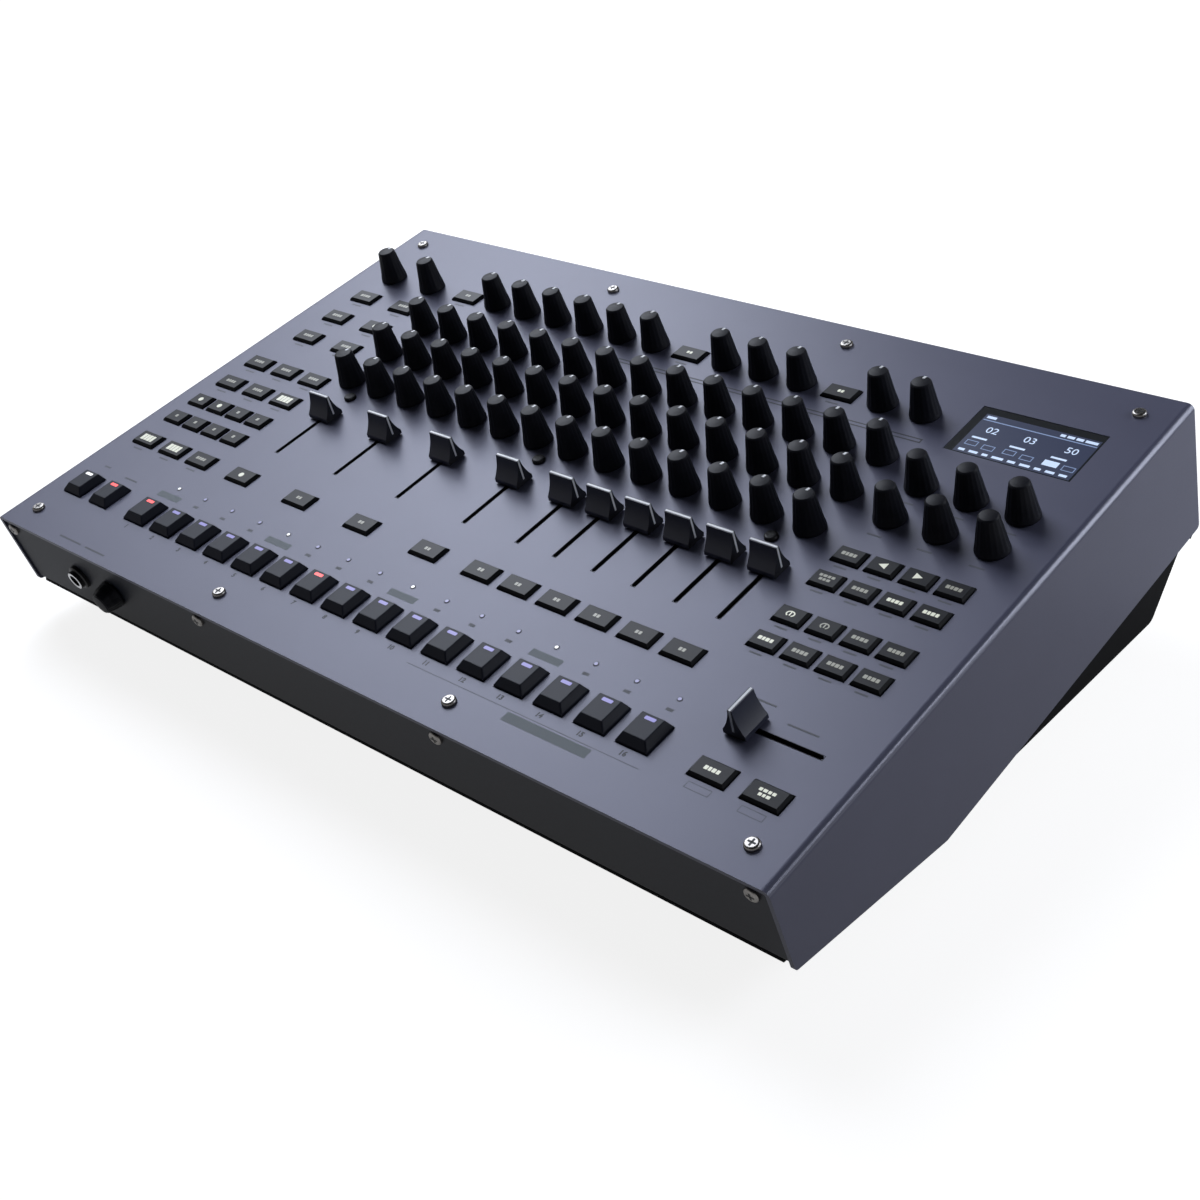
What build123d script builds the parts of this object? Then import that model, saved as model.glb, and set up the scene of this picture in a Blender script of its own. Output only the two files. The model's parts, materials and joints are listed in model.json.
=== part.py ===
from build123d import *
import math
import os

# A table-top drum machine: a folded blue-grey cover over a black chassis, 61 knobs,
# 11 faders, 18 keys and 54 buttons. All sizes are in millimetres.
#
# Almost every piece is drawn in the panel's own frame: x runs along the front edge from
# the left corner, y runs up the sloping panel from that edge, and z stands square on the
# panel, with 0 on its outer face. The last lines tilt the whole set and stand it on its feet.

# ---------------------------------------------------------------- driving sizes
# Sheet metal
PANEL_TILT = 9.2            # slope of the panel against the table, degrees
COVER_SHEET = 2.0
CHASSIS_SHEET = 1.5
COVER_BEND = 3.2            # outside radius of the folds along both long edges
COVER_TIP = 2.0             # rounding of the side walls' corners
FRONT_LEAN = 4.0            # how far the front's foot stands back
FRONT_DROP = 43.6           # height of the front
SIDE_KINK = 96.5            # where the side wall stops growing deeper
SIDE_KINK_DROP = 67.1
REAR_DROP = 65.8            # height of the side wall at the rear
BELLY_START = 102.0         # where the chassis turns level with the table
BELLY_END = 270.0
BELLY_BEND = 7.0
REAR_FOOT_DROP = 70.8       # foot of the rear wall
CHASSIS_INSET = 6.0         # the chassis stands inside the cover's outer faces
CHASSIS_WALL_TOP = 30.0     # depth of its side walls' upper edge under the panel
FACE_RECESS = 1.0           # front and rear walls stand this far inside the cover
FACE_GAP = 0.3              # around their edges
RETURN_LENGTH = 15.0        # flanges by which they stand on the chassis
RETURN_BEND = 2.5
FLANGE_SCREW_INSET = 6.0    # from a flange's free edge

# Layout across, from the left edge to the right
MARGIN_LEFT = 23.4          # first button of the left block
LEFT_BUTTON_PITCH = 23.05
COLUMN_GAP = 22.0           # from the left block to the first knob column
COLUMN_PITCH = 22.57
COLUMNS = 14
ENCODER_GAP = 27.1          # from the last knob column to the first encoder
ENCODER_PITCH = 24.0
MARGIN_RIGHT = 26.0         # from the last encoder to the right edge

# Layout up the panel, from the front edge to the rear
KEY_ROW = 37.8
KEY_TO_LIGHT = 21.2
LIGHT_TO_TRACK_BUTTON = 21.4
TRACK_BUTTON_TO_FADER = 27.0
FADER_TRAVEL = 30.0
FADER_TO_KNOB = 29.0
KNOB_ROW_PITCH = 27.2
TOP_ROW_GAP = 34.5
MARGIN_REAR = 50.7
ENCODER_RISE = 19.2         # lower encoder row above the lowest knob row
ENCODER_ROW_PITCH = 23.7

# Where the button blocks stand against the rows and columns
TRANSPORT_SHIFT = 0.5       # transport keys: right of the first button and above the key row
TRANSPORT_PITCH = 22.55
UPPER_BUTTON_DROP = 8.6     # third row of mode buttons below the lowest knob row
UPPER_BLOCK_DROP = 22.8     # two-column button block below the top row
UPPER_BUTTON_PITCH = 22.0
LEFT_BLOCK_SHIFT = 6.5      # the two-column block stands further right
LEFT_BLOCK_PITCH = 31.9
TOP_BUTTON_DROP = 0.3       # buttons between the top knobs
CORNER_BUTTON_GAP = 50.7    # from the last knob column to the buttons in the near right corner
CORNER_BUTTON_PITCH = 24.1
CORNER_BUTTON_DROP = 3.2    # below the key row
LEFT_PAD_RISE = 21.0        # small buttons above the track buttons
LEFT_PAD_SHIFT = 2.2        # left of the first button
RIGHT_PAD_RISE = 19.8
RIGHT_PAD_SHIFT = 1.0       # left of the first encoder
RIGHT_PAD_STEP = 7.7        # extra gap between its second and third row
SWEEP_GAP = 42.6            # from the last knob column to the crosswise fader's slot
SWEEP_SHIFT = 0.5           # that slot above the row of lights

# Knobs and the potentiometers under them
KNOB_BASE = 7.3             # radii
KNOB_WAIST = 5.9
KNOB_TOP = 4.7
KNOB_HEIGHT = 18.5          # above the panel
ENCODER_BASE = 7.4
ENCODER_WAIST = 5.9
ENCODER_TOP = 4.4
ENCODER_HEIGHT = 18.0
LEVEL_KNOB_BASE = 7.5
LEVEL_KNOB_WAIST = 6.6
LEVEL_KNOB_TOP = 5.5
LEVEL_KNOB_HEIGHT = 9.5
KNOB_LIFT = 0.5             # gap under a knob
KNOB_SKIRT = 0.8            # straight foot of a knob
KNOB_FLARE = 0.42           # height of the curve above the foot, as a share of the knob's
KNOB_HOLLOW = 0.13          # how far that curve lies inside the straight line
KNOB_DOME = 0.4
KNOB_ROUND = 0.6
SHAFT_RADIUS = 3.0
SHAFT_FIT = 0.05            # running fit in the bush, and seat in the knob
SHAFT_IN_KNOB = 12.0
SHAFT_HOLE_PLAY = 0.5       # around the shaft in the cover
POT_WIDTH = 9.8
POT_HEIGHT = 7.0
POT_BUSH = 4.2              # radius
POT_FLOOR = 1.0

# Control board under the cover
BOARD_DEPTH = 12.0          # room between the cover and the board
BOARD_THICKNESS = 1.6
BOARD_MARGIN = 12.0         # from the case's sides
BOARD_START = 28.5          # clear of the sockets in the front
BOARD_REAR_GAP = 10.0
UNDER_COVER_GAP = 0.2

# Faders
FADER_SLOT_WIDTH = 2.0
FADER_SLOT_OVERRUN = 4.5    # slot length beyond the lever's two ends of travel
FADER_CAP_LENGTH = 14.2     # across the travel
FADER_CAP_RIDGE_LENGTH = 13.4
FADER_CAP_WIDTH = 10.4      # along the travel
FADER_CAP_RIDGE = 2.0
FADER_CAP_HEIGHT = 13.4
FADER_CAP_FOOT = 2.6
FADER_CAP_HOLLOW = 0.9      # how far the two long faces curve in
FADER_CAP_LIFT = 0.6
LEVER_THICKNESS = 1.2
LEVER_WIDTH = 4.0
LEVER_IN_CAP = 8.0
SLIDE_POT_WIDTH = 9.0
SLIDE_POT_HEIGHT = 9.0
SLIDE_POT_END = 8.0         # housing beyond each end of the lever's travel
SLIDE_POT_SLOT = 2.4
SLIDE_POT_PLAY = 0.4        # slot beyond the lever at each end of its travel
SLIDE_POT_FLOOR = 2.0
FADER_COLUMNS = (0.5, 2.5, 4.5, 6.5, 8, 9, 10, 11, 12, 13)

# Keys and buttons
KEY_COUNT = 16
KEY_WIDTH = 15.4
KEY_DEPTH = 16.2
KEY_TOP_WIDTH = 11.0
KEY_TOP_DEPTH = 12.0
KEY_TOP_SHIFT = 0.7         # the top lies nearer the rear
KEY_HEIGHT = 4.0
KEY_SKIRT = 1.0
KEY_ROUND = 0.7
KEY_TRAVEL = 1.0
TRANSPORT_KEY_WIDTH = 14.4
TRANSPORT_TO_KEYS = 32.0    # from the second transport key to the first step key
KEYS_TO_SWEEP_FADER = 26.9  # from the last step key to the slot of the level fader
BUTTON_HEIGHT = 1.6
BUTTON_SKIRT = 0.6
BUTTON_BEVEL = 1.0
BUTTON_TRAVEL = 0.6
BUTTON_WIDTH = 17.0
BUTTON_DEPTH = 10.0
PAD_WIDTH = 13.4
PAD_DEPTH = 9.6
PAD_GAP_ACROSS = 2.9
PAD_GAP_UP = 6.9
OPENING_PLAY = 0.4          # around each button in the cover
BUTTON_FLANGE = 0.9         # the ledge that keeps a button in its opening
FLANGE_THICKNESS = 1.0
FLANGE_GAP = 0.3            # under the cover
STEM_WIDTH = 3.5
SWITCH_WIDTH = 6.0
SWITCH_HEIGHT = 4.0
PLUNGER_RADIUS = 1.7
PLUNGER_HEIGHT = 0.8
PLUNGER_GAP = 0.2           # left over when a button is pressed home

# Step lights, display
LIGHT_RADIUS = 1.2
LIGHT_PLAY = 0.1
LIGHT_STAND_OUT = 0.3
DISPLAY_WIDTH = 60.4
DISPLAY_HEIGHT = 34.6
DISPLAY_GAP = 20.1          # from the last knob column
DISPLAY_DROP = 1.0          # its middle lies below the top knob row
PANE_PLAY = 0.15
PANE_SINK = 0.2
PANE_THICKNESS = 1.5
DISPLAY_FRAME = 4.0
DISPLAY_BODY = 5.0
DISPLAY_POST = 2.0

# Screws and the blocks they hold in
SCREW_HEAD = 3.2            # radii
SCREW_SHANK = 1.5
SCREW_HEAD_HEIGHT = 1.8
SCREW_HEAD_ROUND = 1.1
SCREW_LENGTH = 8.0
SCREW_FIT = 0.06            # thread fit in a block
SCREW_PLAY = 0.3            # in the sheet
CORNER_INSET = 17.2         # top screws from the side edges
FRONT_SCREW_ROW = 14.2
REAR_SCREW_ROW = 15.2       # from the rear edge
WALL_SCREW_INSET = 9.0
WALL_SCREW_SHIFT = 3.0      # the middle ones stand beside the panel's screws
WALL_SCREW_DROP = 6.5
MIDDLE_SCREW_ROW = 12.0     # in front of the lowest knob row
BLOCK_WIDTH = 22.0
BLOCK_DEPTH = 20.0
BLOCK_HEIGHT = 11.0
SPACER_RADIUS = 3.2

# Front sockets
FRONT_SOCKET_DROP = 21.0
PHONES_PLACE = 57.5
LEVEL_PLACE = 86.5

# 6.35 mm sockets
JACK_BORE = 3.2             # radii
JACK_BARREL = 5.0
JACK_NUT = 6.6
JACK_NUT_THICKNESS = 2.2
JACK_STAND_OUT = 4.0
JACK_BODY = 13.0
JACK_BODY_LENGTH = 23.0
JACK_END_WALL = 2.0
PANEL_HOLE_PLAY = 0.1
PUNCH = 4.0                 # how far a hole's tool reaches to both sides of a wall

# Rear wall
REAR_SOCKET_DROP = 31.0
OUTPUT_COUNT = 10
OUTPUT_START = 236.0
OUTPUT_PITCH = 21.5
MIDI_COUNT = 3
MIDI_START = 143.0
MIDI_PITCH = 26.0
MIDI_BARREL = 7.6           # radii
MIDI_GROOVE_OUTER = 6.9
MIDI_GROOVE_INNER = 5.9
MIDI_GROOVE_DEPTH = 8.0
MIDI_PIN_CIRCLE = 3.9
MIDI_PIN_HOLE = 0.75
MIDI_PIN_STEP = 45.0
MIDI_BODY_WIDTH = 20.0
MIDI_BODY_HEIGHT = 18.0
MIDI_BODY_LENGTH = 12.0
MIDI_STAND_OUT = 0.6
USB_PLACE = 112.0
USB_WIDTH = 12.0
USB_HEIGHT = 11.0
USB_LENGTH = 16.0
USB_OPENING_WIDTH = 8.5
USB_OPENING_HEIGHT = 7.8
USB_OPENING_DEPTH = 9.0
USB_TONGUE_WIDTH = 5.6
USB_TONGUE_HEIGHT = 3.2
USB_TONGUE_SINK = 1.0
USB_CHAMFER = 1.5
POWER_PLACE = 62.0
POWER_WIDTH = 54.0
POWER_HEIGHT = 24.0
POWER_RIM = 3.0
POWER_RIM_THICKNESS = 2.0
POWER_LENGTH = 27.0
INLET_SHIFT = 11.0
INLET_WIDTH = 24.4
INLET_HEIGHT = 16.6
INLET_DEPTH = 16.0
INLET_CHAMFER = 4.0
BLADE_WIDTH = 2.0
BLADE_HEIGHT = 4.0
BLADE_LENGTH = 13.5
BLADE_SPREAD = 7.0
BLADE_OFFSET = 2.0
ROCKER_SHIFT = 17.0
ROCKER_WIDTH = 12.0
ROCKER_RADIUS = 8.5
ROCKER_PLAY = 0.4
ROCKER_PIVOT_DEPTH = 4.0
ROCKER_ANGLE = 11.0         # half the angle that it tips through
ROCKER_PROUD = 1.0          # the pressed half's face in front of the rim
ROCKER_PIN = 1.5            # what the drum keeps behind its pivot

# Inside the chassis
MAIN_BOARD_WIDTH = 250.0
MAIN_BOARD_DEPTH = 120.0
MAIN_BOARD_LIFT = 6.0
MAIN_BOARD_START = 24.0     # along the belly
MAIN_BOARD_PLACE = 205.0    # its left edge
SUPPLY_WIDTH = 140.0
SUPPLY_DEPTH = 70.0
SUPPLY_PLACE = 34.0
SUPPLY_START = 60.0
TRANSFORMER_WIDTH = 34.0
TRANSFORMER_DEPTH = 28.0
TRANSFORMER_HEIGHT = 22.0
HEAT_SINK_THICKNESS = 6.0
HEAT_SINK_LENGTH = 50.0
HEAT_SINK_HEIGHT = 20.0
HEAT_SINK_SHIFT = 42.0      # right of the transformer
CAPACITOR_RADIUS = 8.0
CAPACITOR_HEIGHT = 19.0
CAPACITOR_SHIFT = 38.0      # left of the transformer
CAPACITOR_SPREAD = 13.0
PROCESSOR_SIZE = 28.0
PROCESSOR_HEIGHT = 3.0
CHIP_SIZE = 9.0
CHIP_HEIGHT = 2.0
CHIP_ROW = 20.0             # from the board's rear edge

# Vents and feet
VENT_COUNT = 12
VENT_LENGTH = 46.0
VENT_WIDTH = 3.0
VENT_PITCH = 8.0
VENT_PLACE = 66.0           # their middle along the belly
VENT_MIDDLE_GAP = 40.0      # from the case's middle to the first slot on each side
FOOT_RADIUS = 10.0
FOOT_HEIGHT = 9.5
FOOT_TAPER = 1.5
FOOT_INSET = 34.0           # from the case's sides
FOOT_FRONT = 14.0           # along the belly
FOOT_REAR = 150.0

# ---------------------------------------------------------------- places worked out
FIRST_COLUMN = MARGIN_LEFT + 2 * LEFT_BUTTON_PITCH + COLUMN_GAP
LAST_COLUMN = FIRST_COLUMN + (COLUMNS - 1) * COLUMN_PITCH
FIRST_ENCODER = LAST_COLUMN + ENCODER_GAP
CASE_WIDTH = FIRST_ENCODER + 2 * ENCODER_PITCH + MARGIN_RIGHT

LIGHT_ROW = KEY_ROW + KEY_TO_LIGHT
TRACK_BUTTON_ROW = LIGHT_ROW + LIGHT_TO_TRACK_BUTTON
FADER_FRONT = TRACK_BUTTON_ROW + TRACK_BUTTON_TO_FADER
FADER_REST = FADER_FRONT + FADER_TRAVEL
KNOB_ROWS = [FADER_REST + FADER_TO_KNOB + row * KNOB_ROW_PITCH for row in range(3)]
TOP_ROW = KNOB_ROWS[2] + TOP_ROW_GAP
PANEL_DEPTH = TOP_ROW + MARGIN_REAR

UPPER_BUTTON_ROW = KNOB_ROWS[0] - UPPER_BUTTON_DROP
LEFT_PAD_ROW = TRACK_BUTTON_ROW + LEFT_PAD_RISE
RIGHT_PAD_ROW = TRACK_BUTTON_ROW + RIGHT_PAD_RISE
SWEEP_SLOT_START = LAST_COLUMN + SWEEP_GAP
SWEEP_ROW = LIGHT_ROW + SWEEP_SHIFT
SWEEP_REST = SWEEP_SLOT_START + FADER_SLOT_OVERRUN
PAD_PITCH = PAD_WIDTH + PAD_GAP_ACROSS
PAD_ROW_PITCH = PAD_DEPTH + PAD_GAP_UP
FIRST_KEY = MARGIN_LEFT + TRANSPORT_SHIFT + TRANSPORT_PITCH + TRANSPORT_TO_KEYS
KEY_PITCH = (SWEEP_SLOT_START - KEYS_TO_SWEEP_FADER - FIRST_KEY) / (KEY_COUNT - 1)

UNDERSIDE = -COVER_SHEET
BOARD_TOP = UNDERSIDE - BOARD_DEPTH
FRONT_ANGLE = math.degrees(math.atan2(FRONT_LEAN, FRONT_DROP))
FRONT_SLOPE = (SIDE_KINK_DROP - FRONT_DROP) / (SIDE_KINK - FRONT_LEAN)
BELLY_START_DROP = FRONT_DROP + FRONT_SLOPE * (BELLY_START - FRONT_LEAN)
BELLY_SLOPE = math.tan(math.radians(PANEL_TILT))
BELLY_END_DROP = BELLY_START_DROP + BELLY_SLOPE * (BELLY_END - BELLY_START)
REAR_FACE = PANEL_DEPTH - FACE_RECESS

# Frames on the front wall (z out of the wall, y up it), on the rear wall (z out of it,
# y down it) and on the inner face of the level part of the chassis (z up).
FRONT = Pos(0, FACE_RECESS, 0) * Rot(90 + FRONT_ANGLE, 0, 0)
REAR = Pos(0, REAR_FACE, 0) * Rot(-90, 0, 0)
BELLY = Pos(0, BELLY_START, -BELLY_START_DROP) * Rot(-PANEL_TILT, 0, 0) * Pos(0, 0, CHASSIS_SHEET)


def column(number):
    return FIRST_COLUMN + number * COLUMN_PITCH


# Where each kind of control stands
LEFT_BLOCK_COLUMNS = [MARGIN_LEFT + LEFT_BLOCK_SHIFT + side * LEFT_BLOCK_PITCH for side in (0, 1)]
TOP_KNOB_PLACES = [(x, TOP_ROW) for x in LEFT_BLOCK_COLUMNS]
TOP_KNOB_PLACES += [(column(c), TOP_ROW) for c in (1, 2, 3, 4, 5, 6, 8, 9, 10, 12, 13)]
TRACK_KNOB_PLACES = [(column(c), row) for row in KNOB_ROWS for c in range(COLUMNS)]
ENCODER_PLACES = [
    (FIRST_ENCODER + across * ENCODER_PITCH, KNOB_ROWS[0] + ENCODER_RISE + up * ENCODER_ROW_PITCH)
    for up in (1, 0)
    for across in range(3)
]
FADER_PLACES = [(column(c), FADER_REST) for c in FADER_COLUMNS]
STEP_KEY_PLACES = [(FIRST_KEY + key * KEY_PITCH, KEY_ROW) for key in range(KEY_COUNT)]
TRANSPORT_KEY_PLACES = [
    (MARGIN_LEFT + TRANSPORT_SHIFT + key * TRANSPORT_PITCH, KEY_ROW + TRANSPORT_SHIFT)
    for key in (0, 1)
]
TRACK_BUTTON_PLACES = [(column(c), TRACK_BUTTON_ROW) for c in FADER_COLUMNS]
MODE_BUTTON_PLACES = [
    (MARGIN_LEFT + across * LEFT_BUTTON_PITCH, row)
    for row in (TRACK_BUTTON_ROW, FADER_REST, UPPER_BUTTON_ROW)
    for across in range(3)
]
MODE_BUTTON_PLACES += [
    (x, TOP_ROW - UPPER_BLOCK_DROP - down * UPPER_BUTTON_PITCH)
    for x in LEFT_BLOCK_COLUMNS
    for down in range(3)
]
MODE_BUTTON_PLACES += [(column(c), TOP_ROW - TOP_BUTTON_DROP) for c in (0, 7, 11)]
MODE_BUTTON_PLACES += [
    (LAST_COLUMN + CORNER_BUTTON_GAP + side * CORNER_BUTTON_PITCH, KEY_ROW - CORNER_BUTTON_DROP)
    for side in (0, 1)
]
LEFT_PAD_PLACES = [
    (MARGIN_LEFT - LEFT_PAD_SHIFT + across * PAD_PITCH, LEFT_PAD_ROW + up * PAD_ROW_PITCH)
    for up in (0, 1)
    for across in range(4)
]
RIGHT_PAD_PLACES = [
    (FIRST_ENCODER - RIGHT_PAD_SHIFT + across * PAD_PITCH, RIGHT_PAD_ROW + up * PAD_ROW_PITCH + step)
    for up, step in ((0, 0), (1, 0), (2, RIGHT_PAD_STEP), (3, RIGHT_PAD_STEP))
    for across in range(4)
]
DISPLAY_PLACE = (LAST_COLUMN + DISPLAY_GAP + DISPLAY_WIDTH / 2, TOP_ROW - DISPLAY_DROP)
SCREW_COLUMNS = [CORNER_INSET + (CASE_WIDTH - 2 * CORNER_INSET) * third / 3 for third in range(4)]
WALL_SCREW_COLUMNS = [
    WALL_SCREW_INSET,
    SCREW_COLUMNS[1] - WALL_SCREW_SHIFT,
    SCREW_COLUMNS[2] + WALL_SCREW_SHIFT,
    CASE_WIDTH - WALL_SCREW_INSET,
]
MIDDLE_SCREW_PLACES = [(column(c), KNOB_ROWS[0] - MIDDLE_SCREW_ROW) for c in (0.5, 6.5, 12.5)]
OUTPUT_PLACES = [OUTPUT_START + number * OUTPUT_PITCH for number in range(OUTPUT_COUNT)]
MIDI_PLACES = [MIDI_START + number * MIDI_PITCH for number in range(MIDI_COUNT)]


# ---------------------------------------------------------------- shapes used often
def block(x0, x1, y0, y1, z0, z1):
    """A box between two corners."""
    return Pos((x0 + x1) / 2, (y0 + y1) / 2, (z0 + z1) / 2) * Box(x1 - x0, y1 - y0, z1 - z0)


def slab(width, depth, z0, z1):
    """A box centred on the z axis."""
    return block(-width / 2, width / 2, -depth / 2, depth / 2, z0, z1)


def rod(radius, z0, z1):
    """A cylinder along the z axis."""
    return Pos(0, 0, (z0 + z1) / 2) * Cylinder(radius, z1 - z0)


def across_case(points, radii, x0, x1):
    """A prism along x, from a closed outline in the y-z plane with rounded corners."""
    outline = FilletPolyline(*points, radius=radii, close=True)
    return Pos(x0, 0, 0) * extrude(Plane.YZ * make_face(outline), x1 - x0)


def offset_path(path, distance):
    """The path moved to its left by a distance, with mitred corners."""
    steps = [Vector(*b) - Vector(*a) for a, b in zip(path, path[1:])]
    normals = [Vector(-step.Y, step.X).normalized() for step in steps]
    moved = [Vector(*path[0]) + normals[0] * distance]
    for corner, before, after in zip(path[1:-1], normals, normals[1:]):
        moved.append(Vector(*corner) + (before + after) * (distance / (1 + before.dot(after))))
    moved.append(Vector(*path[-1]) + normals[-1] * distance)
    return [(point.X, point.Y) for point in moved]


def folded_sheet(path, bend, thickness, x0, x1):
    """A folded sheet with its outer face on a path in the y-z plane."""
    inner = offset_path(path, thickness)
    turns = [0] + [bend] * (len(path) - 2) + [0]
    inner_turns = [0] + [bend - thickness] * (len(path) - 2) + [0]
    return across_case(path + inner[::-1], turns + inner_turns[::-1], x0, x1)


def on_line(start, end, distance):
    """The point at a distance from start on the way to end."""
    way = (Vector(*end) - Vector(*start)).normalized()
    point = Vector(*start) + way * distance
    return (point.X, point.Y)


def crossing(a, b, c, d):
    """Where the line through a and b meets the line through c and d."""
    first = Vector(*b) - Vector(*a)
    second = Vector(*d) - Vector(*c)
    gap = Vector(*c) - Vector(*a)
    share = (gap.X * second.Y - gap.Y * second.X) / (first.X * second.Y - first.Y * second.X)
    point = Vector(*a) + first * share
    return (point.X, point.Y)


def copies(shape, places):
    """One copy of a shape at each place on the panel."""
    return [Pos(x, y, 0) * shape for x, y in places]


def front_face(drop):
    """The front wall's outer face at a depth under the panel."""
    return FACE_RECESS + drop * FRONT_LEAN / FRONT_DROP


# ---------------------------------------------------------------- sheet metal
def chassis_path():
    """Outer line of the chassis's floor, from the foot of the front to that of the rear."""
    return [
        (front_face(FRONT_DROP), -FRONT_DROP - FRONT_SLOPE * FACE_RECESS),
        (BELLY_START, -BELLY_START_DROP),
        (BELLY_END, -BELLY_END_DROP),
        (REAR_FACE, -REAR_FOOT_DROP),
    ]


def front_path():
    """Outer line of the front wall and the flange that lies on the chassis floor."""
    floor = offset_path(chassis_path(), CHASSIS_SHEET)
    top = (front_face(COVER_SHEET + FACE_GAP), -COVER_SHEET - FACE_GAP)
    foot = crossing(top, (front_face(FRONT_DROP), -FRONT_DROP), floor[0], floor[1])
    return [top, foot, on_line(foot, floor[1], RETURN_LENGTH)]


def rear_path():
    """Outer line of the rear wall, from the end of its flange up to the cover."""
    floor = offset_path(chassis_path(), CHASSIS_SHEET)
    foot = crossing((REAR_FACE, 0), (REAR_FACE, -REAR_DROP), floor[2], floor[3])
    return [on_line(foot, floor[2], RETURN_LENGTH), foot, (REAR_FACE, -COVER_SHEET - FACE_GAP)]


def flange_screws(front_end, rear_end, distance):
    """Frames of the screws through the chassis floor into a wall's flange."""
    middle = on_line(front_end, rear_end, distance)
    angle = math.degrees(math.atan2(rear_end[1] - front_end[1], rear_end[0] - front_end[0]))
    at_floor = Pos(0, middle[0], middle[1]) * Rot(angle, 0, 0) * Pos(0, 0, -CHASSIS_SHEET)
    return [Pos(x, 0, 0) * at_floor * Rot(180, 0, 0) for x in SCREW_COLUMNS]


FRONT_WALL = front_path()
REAR_WALL = rear_path()
FRONT_FLANGE_SCREWS = flange_screws(FRONT_WALL[1], FRONT_WALL[2], RETURN_LENGTH - FLANGE_SCREW_INSET)
REAR_FLANGE_SCREWS = flange_screws(REAR_WALL[0], REAR_WALL[1], FLANGE_SCREW_INSET)


def cover_openings():
    """Everything that is punched through the panel."""
    depth = COVER_SHEET + 1
    shaft = rod(SHAFT_RADIUS + SHAFT_HOLE_PLAY, -depth, 1)
    screw = rod(SCREW_SHANK + SCREW_PLAY, -depth, 1)
    light = rod(LIGHT_RADIUS + LIGHT_PLAY, -depth, 1)
    slot_length = FADER_TRAVEL + 2 * FADER_SLOT_OVERRUN
    slot = Pos(0, 0, -depth) * extrude(SlotOverall(slot_length, FADER_SLOT_WIDTH, rotation=90), depth + 1)
    tools = copies(shaft, TOP_KNOB_PLACES + TRACK_KNOB_PLACES + ENCODER_PLACES)
    tools += copies(screw, [(x, FRONT_SCREW_ROW) for x in SCREW_COLUMNS])
    tools += copies(screw, [(x, PANEL_DEPTH - REAR_SCREW_ROW) for x in SCREW_COLUMNS])
    tools += copies(screw, MIDDLE_SCREW_PLACES)
    tools += copies(light, [(x, LIGHT_ROW) for x, y in STEP_KEY_PLACES])
    tools += copies(slot, [(x, y - FADER_TRAVEL / 2) for x, y in FADER_PLACES])
    tools += [Pos(SWEEP_REST + FADER_TRAVEL / 2, SWEEP_ROW, 0) * Rot(0, 0, 90) * slot]
    for places, width, deep in (
        (STEP_KEY_PLACES, KEY_WIDTH, KEY_DEPTH),
        (TRANSPORT_KEY_PLACES, TRANSPORT_KEY_WIDTH, KEY_DEPTH),
        (TRACK_BUTTON_PLACES + MODE_BUTTON_PLACES, BUTTON_WIDTH, BUTTON_DEPTH),
        (LEFT_PAD_PLACES + RIGHT_PAD_PLACES, PAD_WIDTH, PAD_DEPTH),
        ([DISPLAY_PLACE], DISPLAY_WIDTH - 2 * OPENING_PLAY, DISPLAY_HEIGHT - 2 * OPENING_PLAY),
    ):
        tools += copies(slab(width + 2 * OPENING_PLAY, deep + 2 * OPENING_PLAY, -depth, 1), places)
    return tools


def cover_room(gap):
    """The space under the cover, less a gap along its inner faces."""
    edge = COVER_SHEET + gap
    room = block(edge, CASE_WIDTH - edge, -PANEL_DEPTH, 2 * PANEL_DEPTH, -2 * SIDE_KINK_DROP, -edge)
    folds = room.edges().filter_by(Axis.Y).group_by(Axis.Z)[-1]
    return fillet(folds, COVER_BEND - COVER_SHEET)


def top_cover():
    """One folded sheet: the panel, and both side walls with their kinked lower edge."""
    profile = [
        (0, 0),
        (FRONT_LEAN, -FRONT_DROP),
        (SIDE_KINK, -SIDE_KINK_DROP),
        (PANEL_DEPTH, -REAR_DROP),
        (PANEL_DEPTH, 0),
    ]
    body = across_case(profile, [0, COVER_TIP, 4 * COVER_TIP, COVER_TIP, 0], 0, CASE_WIDTH)
    folds = body.edges().filter_by(Axis.Y).group_by(Axis.Z)[-1]
    return fillet(folds, COVER_BEND) - cover_room(0) - cover_openings()


def bottom_case():
    """The black floor, folded along three lines, with its side walls, vents and screw holes."""
    path = chassis_path()
    left = CHASSIS_INSET
    right = CASE_WIDTH - CHASSIS_INSET
    floor = folded_sheet(path, BELLY_BEND, CHASSIS_SHEET, left, right)
    wall_ends = [(REAR_FACE - 2 * CHASSIS_SHEET, -CHASSIS_WALL_TOP)]
    wall_ends += [(front_face(CHASSIS_WALL_TOP) + 2 * CHASSIS_SHEET, -CHASSIS_WALL_TOP)]
    wall_start = (path[0][0] + 2 * CHASSIS_SHEET, path[0][1] - 2 * CHASSIS_SHEET * FRONT_SLOPE)
    wall_path = [wall_start] + path[1:3] + [on_line(path[3], path[2], 2 * CHASSIS_SHEET + RETURN_BEND)]
    bends = [0, BELLY_BEND, BELLY_BEND, 0, 0, 0]
    for x in (left, right - CHASSIS_SHEET):
        floor += across_case(wall_path + wall_ends, bends, x, x + CHASSIS_SHEET)
    tools = []
    vent = slab(VENT_WIDTH, VENT_LENGTH, -3 * CHASSIS_SHEET, 3 * CHASSIS_SHEET)
    for side in (-1, 1):
        for number in range(VENT_COUNT):
            across = CASE_WIDTH / 2 + side * (VENT_MIDDLE_GAP + number * VENT_PITCH)
            tools.append(BELLY * Pos(across, VENT_PLACE, 0) * vent)
    hole = rod(SCREW_SHANK + SCREW_PLAY, -4 * CHASSIS_SHEET, CHASSIS_SHEET)
    tools += [place * hole for place in FRONT_FLANGE_SCREWS + REAR_FLANGE_SCREWS]
    return floor - tools


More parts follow.
